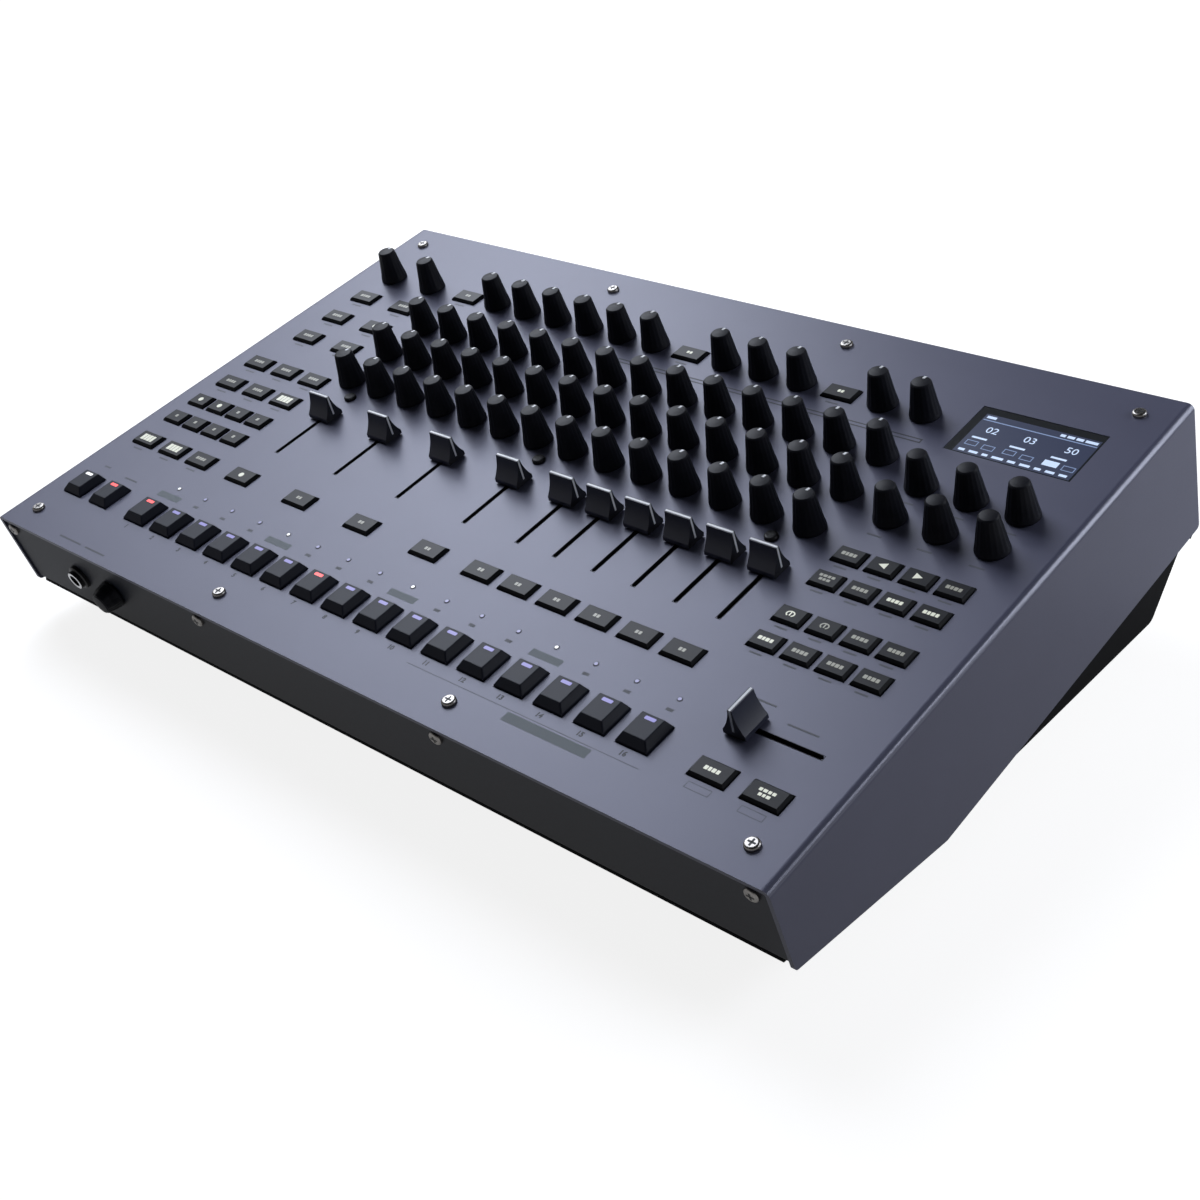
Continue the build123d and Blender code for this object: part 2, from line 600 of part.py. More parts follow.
def wall_screw_holes(frame, drop_sign, thickness):
    """Clearance holes for the screws along a wall's upper edge."""
    hole = rod(SCREW_SHANK + SCREW_PLAY, -2 * thickness, thickness)
    return [frame * Pos(x, drop_sign * WALL_SCREW_DROP, 0) * hole for x in WALL_SCREW_COLUMNS]


def flange_holes(places):
    """Threaded holes in a flange."""
    hole = rod(SCREW_SHANK + SCREW_FIT, -4 * CHASSIS_SHEET, CHASSIS_SHEET)
    return [place * hole for place in places]


def front_panel():
    """The dark front wall, with the holes for the phones socket and its level control."""
    left = COVER_SHEET + FACE_GAP
    wall = folded_sheet(FRONT_WALL, RETURN_BEND, CHASSIS_SHEET, left, CASE_WIDTH - left)
    flange_start = front_face(CHASSIS_WALL_TOP) + CHASSIS_SHEET + FACE_GAP
    below = -2 * FRONT_DROP
    side_end = CHASSIS_INSET + 2 * CHASSIS_SHEET
    sides = block(left, side_end, flange_start, 2 * RETURN_LENGTH, below, -CHASSIS_WALL_TOP)
    mirror_sides = Pos(CASE_WIDTH, 0, 0) * mirror(sides, Plane.YZ)
    row = FRONT * Pos(0, -FRONT_SOCKET_DROP, 0)
    phones = row * Pos(PHONES_PLACE, 0, 0) * rod(JACK_BARREL + PANEL_HOLE_PLAY, -PUNCH, PUNCH)
    level = row * Pos(LEVEL_PLACE, 0, 0) * rod(SHAFT_RADIUS + SHAFT_HOLE_PLAY, -PUNCH, PUNCH)
    tools = [sides, mirror_sides, phones, level]
    tools += wall_screw_holes(FRONT, -1, CHASSIS_SHEET)
    tools += flange_holes(FRONT_FLANGE_SCREWS)
    return (wall & cover_room(FACE_GAP)) - tools


def rear_panel():
    """The rear wall with all its socket openings."""
    left = COVER_SHEET + FACE_GAP
    wall = folded_sheet(REAR_WALL, RETURN_BEND, CHASSIS_SHEET, left, CASE_WIDTH - left)
    flange_start = REAR_FACE - 2 * RETURN_LENGTH
    flange_end = REAR_FACE - 2 * CHASSIS_SHEET + FACE_GAP
    below = -2 * REAR_FOOT_DROP
    side_end = CHASSIS_INSET + 2 * CHASSIS_SHEET
    sides = block(left, side_end, flange_start, flange_end, below, -CHASSIS_WALL_TOP)
    mirror_sides = Pos(CASE_WIDTH, 0, 0) * mirror(sides, Plane.YZ)
    row = REAR * Pos(0, REAR_SOCKET_DROP, 0)
    play = PANEL_HOLE_PLAY
    tools = [sides, mirror_sides]
    tools += [row * Pos(x, 0, 0) * rod(JACK_BARREL + play, -PUNCH, PUNCH) for x in OUTPUT_PLACES]
    tools += [row * Pos(x, 0, 0) * rod(MIDI_BARREL + play, -PUNCH, PUNCH) for x in MIDI_PLACES]
    for x, width, height in (
        (USB_PLACE, USB_WIDTH, USB_HEIGHT),
        (POWER_PLACE, POWER_WIDTH, POWER_HEIGHT),
    ):
        tools.append(row * Pos(x, 0, 0) * slab(width + 2 * play, height + 2 * play, -PUNCH, PUNCH))
    tools += wall_screw_holes(REAR, 1, CHASSIS_SHEET)
    tools += flange_holes(REAR_FLANGE_SCREWS)
    return (wall & cover_room(FACE_GAP)) - tools


def corner_blocks():
    """Eight blocks inside the front and rear edges, which tie the cover to both walls."""
    top = -COVER_SHEET
    foot = top - BLOCK_HEIGHT
    wall = CHASSIS_SHEET / math.cos(math.radians(FRONT_ANGLE))
    front = [
        (front_face(-top) + wall, top),
        (front_face(-foot) + wall, foot),
        (BLOCK_DEPTH, foot),
        (BLOCK_DEPTH, top),
    ]
    rear_inner = REAR_FACE - CHASSIS_SHEET
    rear_start = rear_inner - BLOCK_DEPTH
    down = rod(SCREW_SHANK + SCREW_FIT, top - SCREW_LENGTH, 0)
    inward = rod(SCREW_SHANK + SCREW_FIT, -CHASSIS_SHEET - SCREW_LENGTH, 0)
    solids = []
    for x, wall_x in zip(SCREW_COLUMNS, WALL_SCREW_COLUMNS):
        x0 = max(x - BLOCK_WIDTH / 2, COVER_BEND)
        x1 = min(x + BLOCK_WIDTH / 2, CASE_WIDTH - COVER_BEND)
        piece = across_case(front, [0, 0, 0, 0], x0, x1)
        piece -= Pos(x, FRONT_SCREW_ROW, 0) * down
        piece -= FRONT * Pos(wall_x, -WALL_SCREW_DROP, 0) * inward
        solids.append(piece)
        piece = block(x0, x1, rear_start, rear_inner, foot, top)
        piece -= Pos(x, PANEL_DEPTH - REAR_SCREW_ROW, 0) * down
        piece -= REAR * Pos(wall_x, WALL_SCREW_DROP, 0) * inward
        solids.append(piece)
    return Compound(solids)


def case_screw():
    """A pan-head screw whose head rests on z = 0."""
    head = FilletPolyline(
        (0, 0),
        (SCREW_HEAD, 0),
        (SCREW_HEAD, SCREW_HEAD_HEIGHT),
        (0, SCREW_HEAD_HEIGHT),
        radius=[0, SCREW_HEAD_ROUND],
        close=False,
    )
    face = make_face(Plane.XZ * (head + Line((0, SCREW_HEAD_HEIGHT), (0, 0))))
    return revolve(face, Axis.Z) + rod(SCREW_SHANK, -SCREW_LENGTH, 0)


def case_screws():
    """All screws that hold the sheet metal: the panel's, both walls' and the floor's."""
    screw = case_screw()
    places = [Pos(x, FRONT_SCREW_ROW, 0) for x in SCREW_COLUMNS]
    places += [Pos(x, PANEL_DEPTH - REAR_SCREW_ROW, 0) for x in SCREW_COLUMNS]
    places += [Pos(x, y, 0) for x, y in MIDDLE_SCREW_PLACES]
    places += [FRONT * Pos(x, -WALL_SCREW_DROP, 0) for x in WALL_SCREW_COLUMNS]
    places += [REAR * Pos(x, WALL_SCREW_DROP, 0) for x in WALL_SCREW_COLUMNS]
    places += FRONT_FLANGE_SCREWS + REAR_FLANGE_SCREWS
    return Compound([place * screw for place in places])


def rubber_feet():
    """Four tapered feet under the level part of the chassis."""
    foot = Pos(0, 0, -CHASSIS_SHEET - FOOT_HEIGHT) * Cone(
        FOOT_RADIUS - FOOT_TAPER, FOOT_RADIUS, FOOT_HEIGHT, align=(Align.CENTER, Align.CENTER, Align.MIN)
    )
    return Compound([
        BELLY * Pos(x, y, 0) * foot
        for x in (FOOT_INSET, CASE_WIDTH - FOOT_INSET)
        for y in (FOOT_FRONT, FOOT_REAR)
    ])


# ---------------------------------------------------------------- knobs
def knob_cap(base, waist, top, height):
    """A tapered knob: a straight foot, a curve up to the cone, a soft rim and a low dome."""
    foot = KNOB_LIFT
    skirt = foot + KNOB_SKIRT
    flare = skirt + KNOB_FLARE * height
    bore = SHAFT_RADIUS + SHAFT_FIT
    bore_end = foot + min(SHAFT_IN_KNOB, height - 3 * KNOB_LIFT) + SHAFT_FIT
    rim = height - KNOB_DOME
    flat = top - KNOB_ROUND
    dome_radius = (flat**2 + KNOB_DOME**2) / (2 * KNOB_DOME)
    flare_middle = ((base + waist) / 2 - KNOB_HOLLOW, (skirt + flare) / 2)
    outline = [
        Line((bore, foot), (base, foot)),
        Line((base, foot), (base, skirt)),
        ThreePointArc((base, skirt), flare_middle, (waist, flare)),
        Line((waist, flare), (top, rim - KNOB_ROUND)),
        Line((top, rim - KNOB_ROUND), (flat, rim)),
        RadiusArc((flat, rim), (0, height), -dome_radius),
        Line((0, height), (0, bore_end)),
        Line((0, bore_end), (bore, bore_end)),
        Line((bore, bore_end), (bore, foot)),
    ]
    return revolve(make_face([Plane.XZ * edge for edge in outline]), Axis.Z)


def knob_with_shaft(base, waist, top, height, shaft_end):
    """A knob pressed on its shaft, which reaches down to shaft_end inside the pot."""
    cap = knob_cap(base, waist, top, height)
    shaft_top = KNOB_LIFT + min(SHAFT_IN_KNOB, height - 3 * KNOB_LIFT)
    return [cap, rod(SHAFT_RADIUS, shaft_end, shaft_top)]


def panel_knob(places, base, waist, top, height):
    """Knobs with their shafts at places on the panel."""
    pieces = knob_with_shaft(base, waist, top, height, BOARD_TOP + POT_FLOOR + UNDER_COVER_GAP)
    return Compound([copy for piece in pieces for copy in copies(piece, places)])


def potentiometers():
    """The rotary controls' bodies: on the control board, and one behind the front wall."""
    bush_top = UNDERSIDE - UNDER_COVER_GAP
    bore = rod(SHAFT_RADIUS + SHAFT_FIT, BOARD_TOP + POT_FLOOR, bush_top + 1)
    body = slab(POT_WIDTH, POT_WIDTH, BOARD_TOP, BOARD_TOP + POT_HEIGHT)
    body += rod(POT_BUSH, BOARD_TOP + POT_HEIGHT, bush_top)
    body -= bore
    solids = copies(body, TOP_KNOB_PLACES + TRACK_KNOB_PLACES + ENCODER_PLACES)
    level = slab(POT_WIDTH, POT_WIDTH, -CHASSIS_SHEET - POT_HEIGHT, -CHASSIS_SHEET)
    level -= rod(SHAFT_RADIUS + SHAFT_FIT, -CHASSIS_SHEET - POT_HEIGHT + POT_FLOOR, 0)
    solids.append(FRONT * Pos(LEVEL_PLACE, -FRONT_SOCKET_DROP, 0) * level)
    return Compound(solids)


def phones_level_knob():
    """The small knob on the front wall."""
    shaft_end = -CHASSIS_SHEET - POT_HEIGHT + POT_FLOOR + UNDER_COVER_GAP
    radii = (LEVEL_KNOB_BASE, LEVEL_KNOB_WAIST, LEVEL_KNOB_TOP)
    place = FRONT * Pos(LEVEL_PLACE, -FRONT_SOCKET_DROP, 0)
    return Compound([place * piece for piece in knob_with_shaft(*radii, LEVEL_KNOB_HEIGHT, shaft_end)])


# ---------------------------------------------------------------- faders
def fader_cap():
    """A ridged cap: both long faces curve in towards the ridge, and both ends taper."""
    half = FADER_CAP_WIDTH / 2
    ridge = FADER_CAP_RIDGE / 2
    low = FADER_CAP_LIFT
    foot = FADER_CAP_FOOT
    high = FADER_CAP_HEIGHT
    middle = ((half + ridge) / 2 - FADER_CAP_HOLLOW, (foot + high) / 2)
    outline = [
        Line((-half, low), (half, low)),
        Line((half, low), (half, foot)),
        ThreePointArc((half, foot), middle, (ridge, high)),
        Line((ridge, high), (-ridge, high)),
        ThreePointArc((-ridge, high), (-middle[0], middle[1]), (-half, foot)),
        Line((-half, foot), (-half, low)),
    ]
    side = make_face([Plane.YZ * edge for edge in outline])
    cap = Pos(-FADER_CAP_LENGTH / 2, 0, 0) * extrude(side, FADER_CAP_LENGTH)
    ends = Polyline(
        (-FADER_CAP_LENGTH / 2, 0),
        (FADER_CAP_LENGTH / 2, 0),
        (FADER_CAP_RIDGE_LENGTH / 2, high),
        (-FADER_CAP_RIDGE_LENGTH / 2, high),
        close=True,
    )
    cap &= Pos(0, half, 0) * extrude(Plane.XZ * make_face(ends), FADER_CAP_WIDTH)
    return cap - slab(LEVER_THICKNESS, LEVER_WIDTH, low - 1, low + LEVER_IN_CAP)


def fader_lever():
    """The tongue from the slide potentiometer up into the cap."""
    bottom = BOARD_TOP + SLIDE_POT_FLOOR + UNDER_COVER_GAP
    return slab(LEVER_THICKNESS, LEVER_WIDTH, bottom, FADER_CAP_LIFT + LEVER_IN_CAP)


def slide_pot():
    """A slide potentiometer's housing, centred on its travel."""
    length = FADER_TRAVEL + LEVER_WIDTH + 2 * SLIDE_POT_END
    top = BOARD_TOP + SLIDE_POT_HEIGHT
    body = slab(SLIDE_POT_WIDTH, length, BOARD_TOP, top)
    slot_length = FADER_TRAVEL + LEVER_WIDTH + 2 * SLIDE_POT_PLAY
    return body - slab(SLIDE_POT_SLOT, slot_length, BOARD_TOP + SLIDE_POT_FLOOR, top + 1)


def track_fader(place):
    """A cap and its lever on the panel, at the rear end of the slot."""
    return Compound([Pos(place[0], place[1], 0) * piece for piece in (fader_cap(), fader_lever())])


def sweep_fader():
    """The crosswise fader, at the left end of its slot."""
    place = Pos(SWEEP_REST, SWEEP_ROW, 0) * Rot(0, 0, 90)
    return Compound([place * piece for piece in (fader_cap(), fader_lever())])


def slide_potentiometers():
    """One slide potentiometer under each fader."""
    body = slide_pot()
    solids = copies(body, [(x, y - FADER_TRAVEL / 2) for x, y in FADER_PLACES])
    solids.append(Pos(SWEEP_REST + FADER_TRAVEL / 2, SWEEP_ROW, 0) * Rot(0, 0, 90) * body)
    return Compound(solids)


# ---------------------------------------------------------------- keys and buttons
def under_button(width, depth, travel):
    """What hangs under every key and button: the body in the opening, a ledge and a stem."""
    ledge_top = UNDERSIDE - FLANGE_GAP
    ledge_foot = ledge_top - FLANGE_THICKNESS
    stem_foot = BOARD_TOP + SWITCH_HEIGHT + PLUNGER_HEIGHT + travel + PLUNGER_GAP
    ledge = slab(width + 2 * BUTTON_FLANGE, depth + 2 * BUTTON_FLANGE, ledge_foot, ledge_top)
    stem = slab(STEM_WIDTH, STEM_WIDTH, stem_foot, ledge_foot)
    return slab(width, depth, ledge_top, 0) + ledge + stem


def step_key(width):
    """A sculpted key: its top is set back and lies nearer the rear."""
    skirt = slab(width, KEY_DEPTH, 0, KEY_SKIRT)
    top_width = width - (KEY_WIDTH - KEY_TOP_WIDTH)
    low = Plane.XY.offset(KEY_SKIRT) * Rectangle(width, KEY_DEPTH)
    high = Plane.XY.offset(KEY_HEIGHT) * Pos(0, KEY_TOP_SHIFT) * Rectangle(top_width, KEY_TOP_DEPTH)
    crown = loft([low, high])
    upper_edges = crown.edges().filter_by_position(Axis.Z, KEY_SKIRT + KEY_ROUND / 2, KEY_HEIGHT)
    crown = fillet(upper_edges, KEY_ROUND)
    return crown + skirt + under_button(width, KEY_DEPTH, KEY_TRAVEL)


def flat_button(width, depth):
    """A low button with a bevelled edge."""
    skirt = slab(width, depth, 0, BUTTON_SKIRT)
    low = Plane.XY.offset(BUTTON_SKIRT) * Rectangle(width, depth)
    high = Plane.XY.offset(BUTTON_HEIGHT) * Rectangle(width - 2 * BUTTON_BEVEL, depth - 2 * BUTTON_BEVEL)
    return loft([low, high]) + skirt + under_button(width, depth, BUTTON_TRAVEL)


def key_switches():
    """A push switch under every key and button."""
    top = BOARD_TOP + SWITCH_HEIGHT
    switch = slab(SWITCH_WIDTH, SWITCH_WIDTH, BOARD_TOP, top)
    switch += rod(PLUNGER_RADIUS, top, top + PLUNGER_HEIGHT)
    places = STEP_KEY_PLACES + TRANSPORT_KEY_PLACES + TRACK_BUTTON_PLACES
    places += MODE_BUTTON_PLACES + LEFT_PAD_PLACES + RIGHT_PAD_PLACES
    return Compound(copies(switch, places))


def step_lights():
    """Light pipes from the control board up through the panel."""
    pipe = rod(LIGHT_RADIUS, BOARD_TOP, LIGHT_STAND_OUT)
    pipe = chamfer(pipe.edges().group_by(Axis.Z)[-1], LIGHT_STAND_OUT)
    return Compound(copies(pipe, [(x, LIGHT_ROW) for x, y in STEP_KEY_PLACES]))


# ---------------------------------------------------------------- display
def display_window():
    """The clear pane in the panel's opening."""
    width = DISPLAY_WIDTH - 2 * PANE_PLAY
    height = DISPLAY_HEIGHT - 2 * PANE_PLAY
    return Pos(*DISPLAY_PLACE) * slab(width, height, -PANE_SINK - PANE_THICKNESS, -PANE_SINK)


def display_module():
    """The display behind the pane, on four posts that stand on the control board."""
    width = DISPLAY_WIDTH + 2 * DISPLAY_FRAME
    height = DISPLAY_HEIGHT + 2 * DISPLAY_FRAME
    module = slab(width, height, UNDERSIDE - DISPLAY_BODY, UNDERSIDE)
    for x in (-1, 1):
        for y in (-1, 1):
            corner = Pos(x * (width / 2 - DISPLAY_POST), y * (height / 2 - DISPLAY_POST), 0)
            module += corner * rod(DISPLAY_POST, BOARD_TOP, UNDERSIDE - DISPLAY_BODY)
    return Pos(*DISPLAY_PLACE) * module


# ---------------------------------------------------------------- boards
def control_board():
    """The board under the panel, and the three spacers that hang it from the middle screws."""
    board = block(
        BOARD_MARGIN,
        CASE_WIDTH - BOARD_MARGIN,
        BOARD_START,
        PANEL_DEPTH - BOARD_REAR_GAP,
        BOARD_TOP - BOARD_THICKNESS,
        BOARD_TOP,
    )
    spacer = rod(SPACER_RADIUS, BOARD_TOP, UNDERSIDE)
    spacer -= rod(SCREW_SHANK + SCREW_FIT, UNDERSIDE - SCREW_LENGTH, UNDERSIDE + 1)
    return Compound([board] + copies(spacer, MIDDLE_SCREW_PLACES))


def main_board():
    """The processor board on four spacers, with a converter chip in line with each output."""
    left = MAIN_BOARD_PLACE
    right = left + MAIN_BOARD_WIDTH
    front = MAIN_BOARD_START
    rear = front + MAIN_BOARD_DEPTH
    lift = MAIN_BOARD_LIFT
    top = lift + BOARD_THICKNESS
    solids = [BELLY * block(left, right, front, rear, lift, top)]
    for x in (left + 2 * SPACER_RADIUS, right - 2 * SPACER_RADIUS):
        for y in (front + 2 * SPACER_RADIUS, rear - 2 * SPACER_RADIUS):
            solids.append(BELLY * Pos(x, y, 0) * rod(SPACER_RADIUS, 0, lift))
    chip = slab(CHIP_SIZE, CHIP_SIZE, top, top + CHIP_HEIGHT)
    solids += [BELLY * Pos(x, rear - CHIP_ROW, 0) * chip for x in OUTPUT_PLACES]
    processor = slab(PROCESSOR_SIZE, PROCESSOR_SIZE, top, top + PROCESSOR_HEIGHT)
    solids.append(BELLY * Pos((left + right) / 2, (front + rear) / 2, 0) * processor)
    return Compound(solids)


def power_supply():
    """An open mains supply: its board on spacers, a transformer, a heat sink and two capacitors."""
    left = SUPPLY_PLACE
    front = SUPPLY_START
    lift = MAIN_BOARD_LIFT
    top = lift + BOARD_THICKNESS
    solids = [BELLY * block(left, left + SUPPLY_WIDTH, front, front + SUPPLY_DEPTH, lift, top)]
    for x in (left + 2 * SPACER_RADIUS, left + SUPPLY_WIDTH - 2 * SPACER_RADIUS):
        for y in (front + 2 * SPACER_RADIUS, front + SUPPLY_DEPTH - 2 * SPACER_RADIUS):
            solids.append(BELLY * Pos(x, y, 0) * rod(SPACER_RADIUS, 0, lift))
    middle = BELLY * Pos(left + SUPPLY_WIDTH / 2, front + SUPPLY_DEPTH / 2, 0)
    solids.append(middle * slab(TRANSFORMER_WIDTH, TRANSFORMER_DEPTH, top, top + TRANSFORMER_HEIGHT))
    heat_sink = slab(HEAT_SINK_THICKNESS, HEAT_SINK_LENGTH, top, top + HEAT_SINK_HEIGHT)
    solids.append(middle * Pos(HEAT_SINK_SHIFT, 0, 0) * heat_sink)
    capacitor = rod(CAPACITOR_RADIUS, top, top + CAPACITOR_HEIGHT)
    for side in (-1, 1):
        solids.append(middle * Pos(-CAPACITOR_SHIFT, side * CAPACITOR_SPREAD, 0) * capacitor)
    return Compound(solids)


# ---------------------------------------------------------------- sockets
def jack():
    """A 6.35 mm socket: a body with a threaded barrel through the wall, and its nut."""
    barrel = rod(JACK_BARREL, -CHASSIS_SHEET, JACK_STAND_OUT)
    body = slab(JACK_BODY, JACK_BODY, -CHASSIS_SHEET - JACK_BODY_LENGTH, -CHASSIS_SHEET)
    bore_end = -CHASSIS_SHEET - JACK_BODY_LENGTH + JACK_END_WALL
    socket = body + barrel - rod(JACK_BORE, bore_end, JACK_STAND_OUT + 1)
    nut = rod(JACK_NUT, 0, JACK_NUT_THICKNESS)
    nut = chamfer(nut.edges().group_by(Axis.Z)[-1], JACK_NUT_THICKNESS / 4)
    nut -= rod(JACK_BARREL + SCREW_FIT, -1, JACK_NUT_THICKNESS + 1)
    return [socket, nut]


def phones_jack():
    """The headphone socket in the front wall."""
    place = FRONT * Pos(PHONES_PLACE, -FRONT_SOCKET_DROP, 0)
    return Compound([place * piece for piece in jack()])


def output_jacks():
    """The row of line outputs in the rear wall."""
    pieces = jack()
    row = REAR * Pos(0, REAR_SOCKET_DROP, 0)
    return Compound([row * Pos(x, 0, 0) * piece for x in OUTPUT_PLACES for piece in pieces])


def midi_socket():
    """A five-pole DIN socket: a round face with a groove around its insert and five pin holes."""
    length = MIDI_BODY_LENGTH
    socket = slab(MIDI_BODY_WIDTH, MIDI_BODY_HEIGHT, -CHASSIS_SHEET - length, -CHASSIS_SHEET)
    socket += rod(MIDI_BARREL, -CHASSIS_SHEET, MIDI_STAND_OUT)
    groove_foot = MIDI_STAND_OUT - MIDI_GROOVE_DEPTH
    groove = rod(MIDI_GROOVE_OUTER, groove_foot, MIDI_STAND_OUT + 1)
    groove -= rod(MIDI_GROOVE_INNER, groove_foot - 1, MIDI_STAND_OUT + 1)
    socket -= groove
    pin = rod(MIDI_PIN_HOLE, groove_foot, MIDI_STAND_OUT + 1)
    for number in range(5):
        socket -= Rot(0, 0, number * MIDI_PIN_STEP) * Pos(MIDI_PIN_CIRCLE, 0, 0) * pin
    return socket


def midi_sockets():
    """Three DIN sockets in the rear wall."""
    socket = midi_socket()
    row = REAR * Pos(0, REAR_SOCKET_DROP, 0)
    return Compound([row * Pos(x, 0, 0) * socket for x in MIDI_PLACES])


def usb_socket():
    """A square USB socket with its contact tongue."""
    shell = slab(USB_WIDTH, USB_HEIGHT, -USB_LENGTH, 0)
    opening = slab(USB_OPENING_WIDTH, USB_OPENING_HEIGHT, -USB_OPENING_DEPTH, 1)
    upper_corners = opening.edges().filter_by(Axis.Z).group_by(Axis.Y)[0]
    opening = chamfer(upper_corners, USB_CHAMFER)
    tongue = slab(USB_TONGUE_WIDTH, USB_TONGUE_HEIGHT, -USB_OPENING_DEPTH, -USB_TONGUE_SINK)
    return REAR * Pos(USB_PLACE, REAR_SOCKET_DROP, 0) * (shell - opening + tongue)


def mains_inlet():
    """The mains inlet and the switch's housing, in one module with a rim on the rear wall."""
    body = slab(POWER_WIDTH, POWER_HEIGHT, -POWER_LENGTH, 0)
    body += slab(POWER_WIDTH + 2 * POWER_RIM, POWER_HEIGHT + 2 * POWER_RIM, 0, POWER_RIM_THICKNESS)
    recess = slab(INLET_WIDTH, INLET_HEIGHT, POWER_RIM_THICKNESS - INLET_DEPTH, POWER_RIM_THICKNESS + 1)
    upper_corners = recess.edges().filter_by(Axis.Z).group_by(Axis.Y)[0]
    recess = chamfer(upper_corners, INLET_CHAMFER)
    body -= Pos(-INLET_SHIFT, 0, 0) * recess
    floor = POWER_RIM_THICKNESS - INLET_DEPTH
    blade = slab(BLADE_WIDTH, BLADE_HEIGHT, floor, floor + BLADE_LENGTH)
    for x, y in ((-BLADE_SPREAD, BLADE_OFFSET), (BLADE_SPREAD, BLADE_OFFSET), (0, -BLADE_OFFSET)):
        body += Pos(x - INLET_SHIFT, y, 0) * blade
    well_floor = POWER_RIM_THICKNESS - ROCKER_PIVOT_DEPTH - ROCKER_RADIUS - ROCKER_PLAY
    reach = 2 * (ROCKER_RADIUS + ROCKER_PLAY)
    well = slab(ROCKER_WIDTH + 2 * ROCKER_PLAY, reach, well_floor, POWER_RIM_THICKNESS + 1)
    return REAR * Pos(POWER_PLACE, REAR_SOCKET_DROP, 0) * (body - Pos(ROCKER_SHIFT, 0, 0) * well)


ROCKER_PIVOT = POWER_RIM_THICKNESS - ROCKER_PIVOT_DEPTH
ROCKER_FRAME = REAR * Pos(POWER_PLACE + ROCKER_SHIFT, REAR_SOCKET_DROP, ROCKER_PIVOT)


def power_rocker():
    """The mains rocker: a drum around its pivot, cut to two faces that meet at a shallow angle."""
    drum = Rot(0, 90, 0) * Cylinder(ROCKER_RADIUS, ROCKER_WIDTH)
    face = ROCKER_PIVOT_DEPTH + ROCKER_PROUD
    size = 4 * ROCKER_RADIUS
    over_lower = Pos(0, size / 2, face + size / 2) * Box(size, size, size)
    over_upper = Rot(2 * ROCKER_ANGLE, 0, 0) * Pos(0, -size / 2, face + size / 2) * Box(size, size, size)
    under = Pos(0, 0, -ROCKER_PIN - size / 2) * Box(size, size, size)
    return ROCKER_FRAME * (drum - over_lower - over_upper - under)


# ---------------------------------------------------------------- the set of pieces
def knob_nodes():
    """Each jointed knob by its node's name."""
    nodes = {}
    for number, place in enumerate(TOP_KNOB_PLACES, 1):
        nodes[f"top_knob_{number:02d}"] = panel_knob([place], KNOB_BASE, KNOB_WAIST, KNOB_TOP, KNOB_HEIGHT)
    for number, place in enumerate(ENCODER_PLACES, 1):
        name = f"encoder_knob_{number}"
        nodes[name] = panel_knob([place], ENCODER_BASE, ENCODER_WAIST, ENCODER_TOP, ENCODER_HEIGHT)
    nodes["track_knobs"] = panel_knob(TRACK_KNOB_PLACES, KNOB_BASE, KNOB_WAIST, KNOB_TOP, KNOB_HEIGHT)
    nodes["phones_level_knob"] = phones_level_knob()
    return nodes


def all_nodes():
    """Every piece by its node's name, in the panel's frame."""
    nodes = {
        "top_cover": top_cover(),
        "bottom_case": bottom_case(),
        "front_panel": front_panel(),
        "rear_panel": rear_panel(),
        "corner_blocks": corner_blocks(),
        "case_screws": case_screws(),
        "rubber_feet": rubber_feet(),
        "display_window": display_window(),
        "display_module": display_module(),
        "control_board": control_board(),
        "main_board": main_board(),
        "power_supply": power_supply(),
        "potentiometers": potentiometers(),
        "slide_potentiometers": slide_potentiometers(),
        "key_switches": key_switches(),
        "step_lights": step_lights(),
        "phones_jack": phones_jack(),
        "output_jacks": output_jacks(),
        "midi_sockets": midi_sockets(),
        "usb_socket": usb_socket(),
        "mains_inlet": mains_inlet(),
        "power_rocker": power_rocker(),
        "step_keys": Compound(copies(step_key(KEY_WIDTH), STEP_KEY_PLACES)),
        "transport_keys": Compound(copies(step_key(TRANSPORT_KEY_WIDTH), TRANSPORT_KEY_PLACES)),
        "track_buttons": Compound(copies(flat_button(BUTTON_WIDTH, BUTTON_DEPTH), TRACK_BUTTON_PLACES)),
        "mode_buttons": Compound(copies(flat_button(BUTTON_WIDTH, BUTTON_DEPTH), MODE_BUTTON_PLACES)),
        "pattern_buttons": Compound(copies(flat_button(PAD_WIDTH, PAD_DEPTH), LEFT_PAD_PLACES)),
        "menu_buttons": Compound(copies(flat_button(PAD_WIDTH, PAD_DEPTH), RIGHT_PAD_PLACES)),
        "sweep_fader": sweep_fader(),
    }
    for number, place in enumerate(FADER_PLACES, 1):
        nodes[f"track_fader_{number:02d}"] = track_fader(place)
    nodes.update(knob_nodes())
    return nodes


NODES = all_nodes()
TILTED = {name: Rot(PANEL_TILT, 0, 0) * shape for name, shape in NODES.items()}
REACH = Compound(list(TILTED.values())).bounding_box()
ORIGIN_SHIFT = (-REACH.center().X, -REACH.center().Y, -REACH.min.Z)

os.makedirs("parts", exist_ok=True)
for name, shape in TILTED.items():
    export_step(Pos(*ORIGIN_SHIFT) * shape, f"parts/{name}.step")
print(f"{len(TILTED)} nodes, {REACH.size.X:.1f} x {REACH.size.Y:.1f} x {REACH.size.Z:.1f} mm")
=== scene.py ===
# %% [markdown]
# # A table-top drum machine
# The instrument is a folded metal case full of controls. Its solid pieces come ready made from
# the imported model. This lesson gives them their finishes and adds the small things that a solid
# model leaves out: flutes and pointers on the knobs, white lines on the faders, lit windows in
# the keys, symbols on the buttons, a picture on the display, the printed marks and the bright
# parts inside the sockets.

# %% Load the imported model
import bmesh
import bpy
import json
import math
from mathutils import Euler, Matrix, Vector

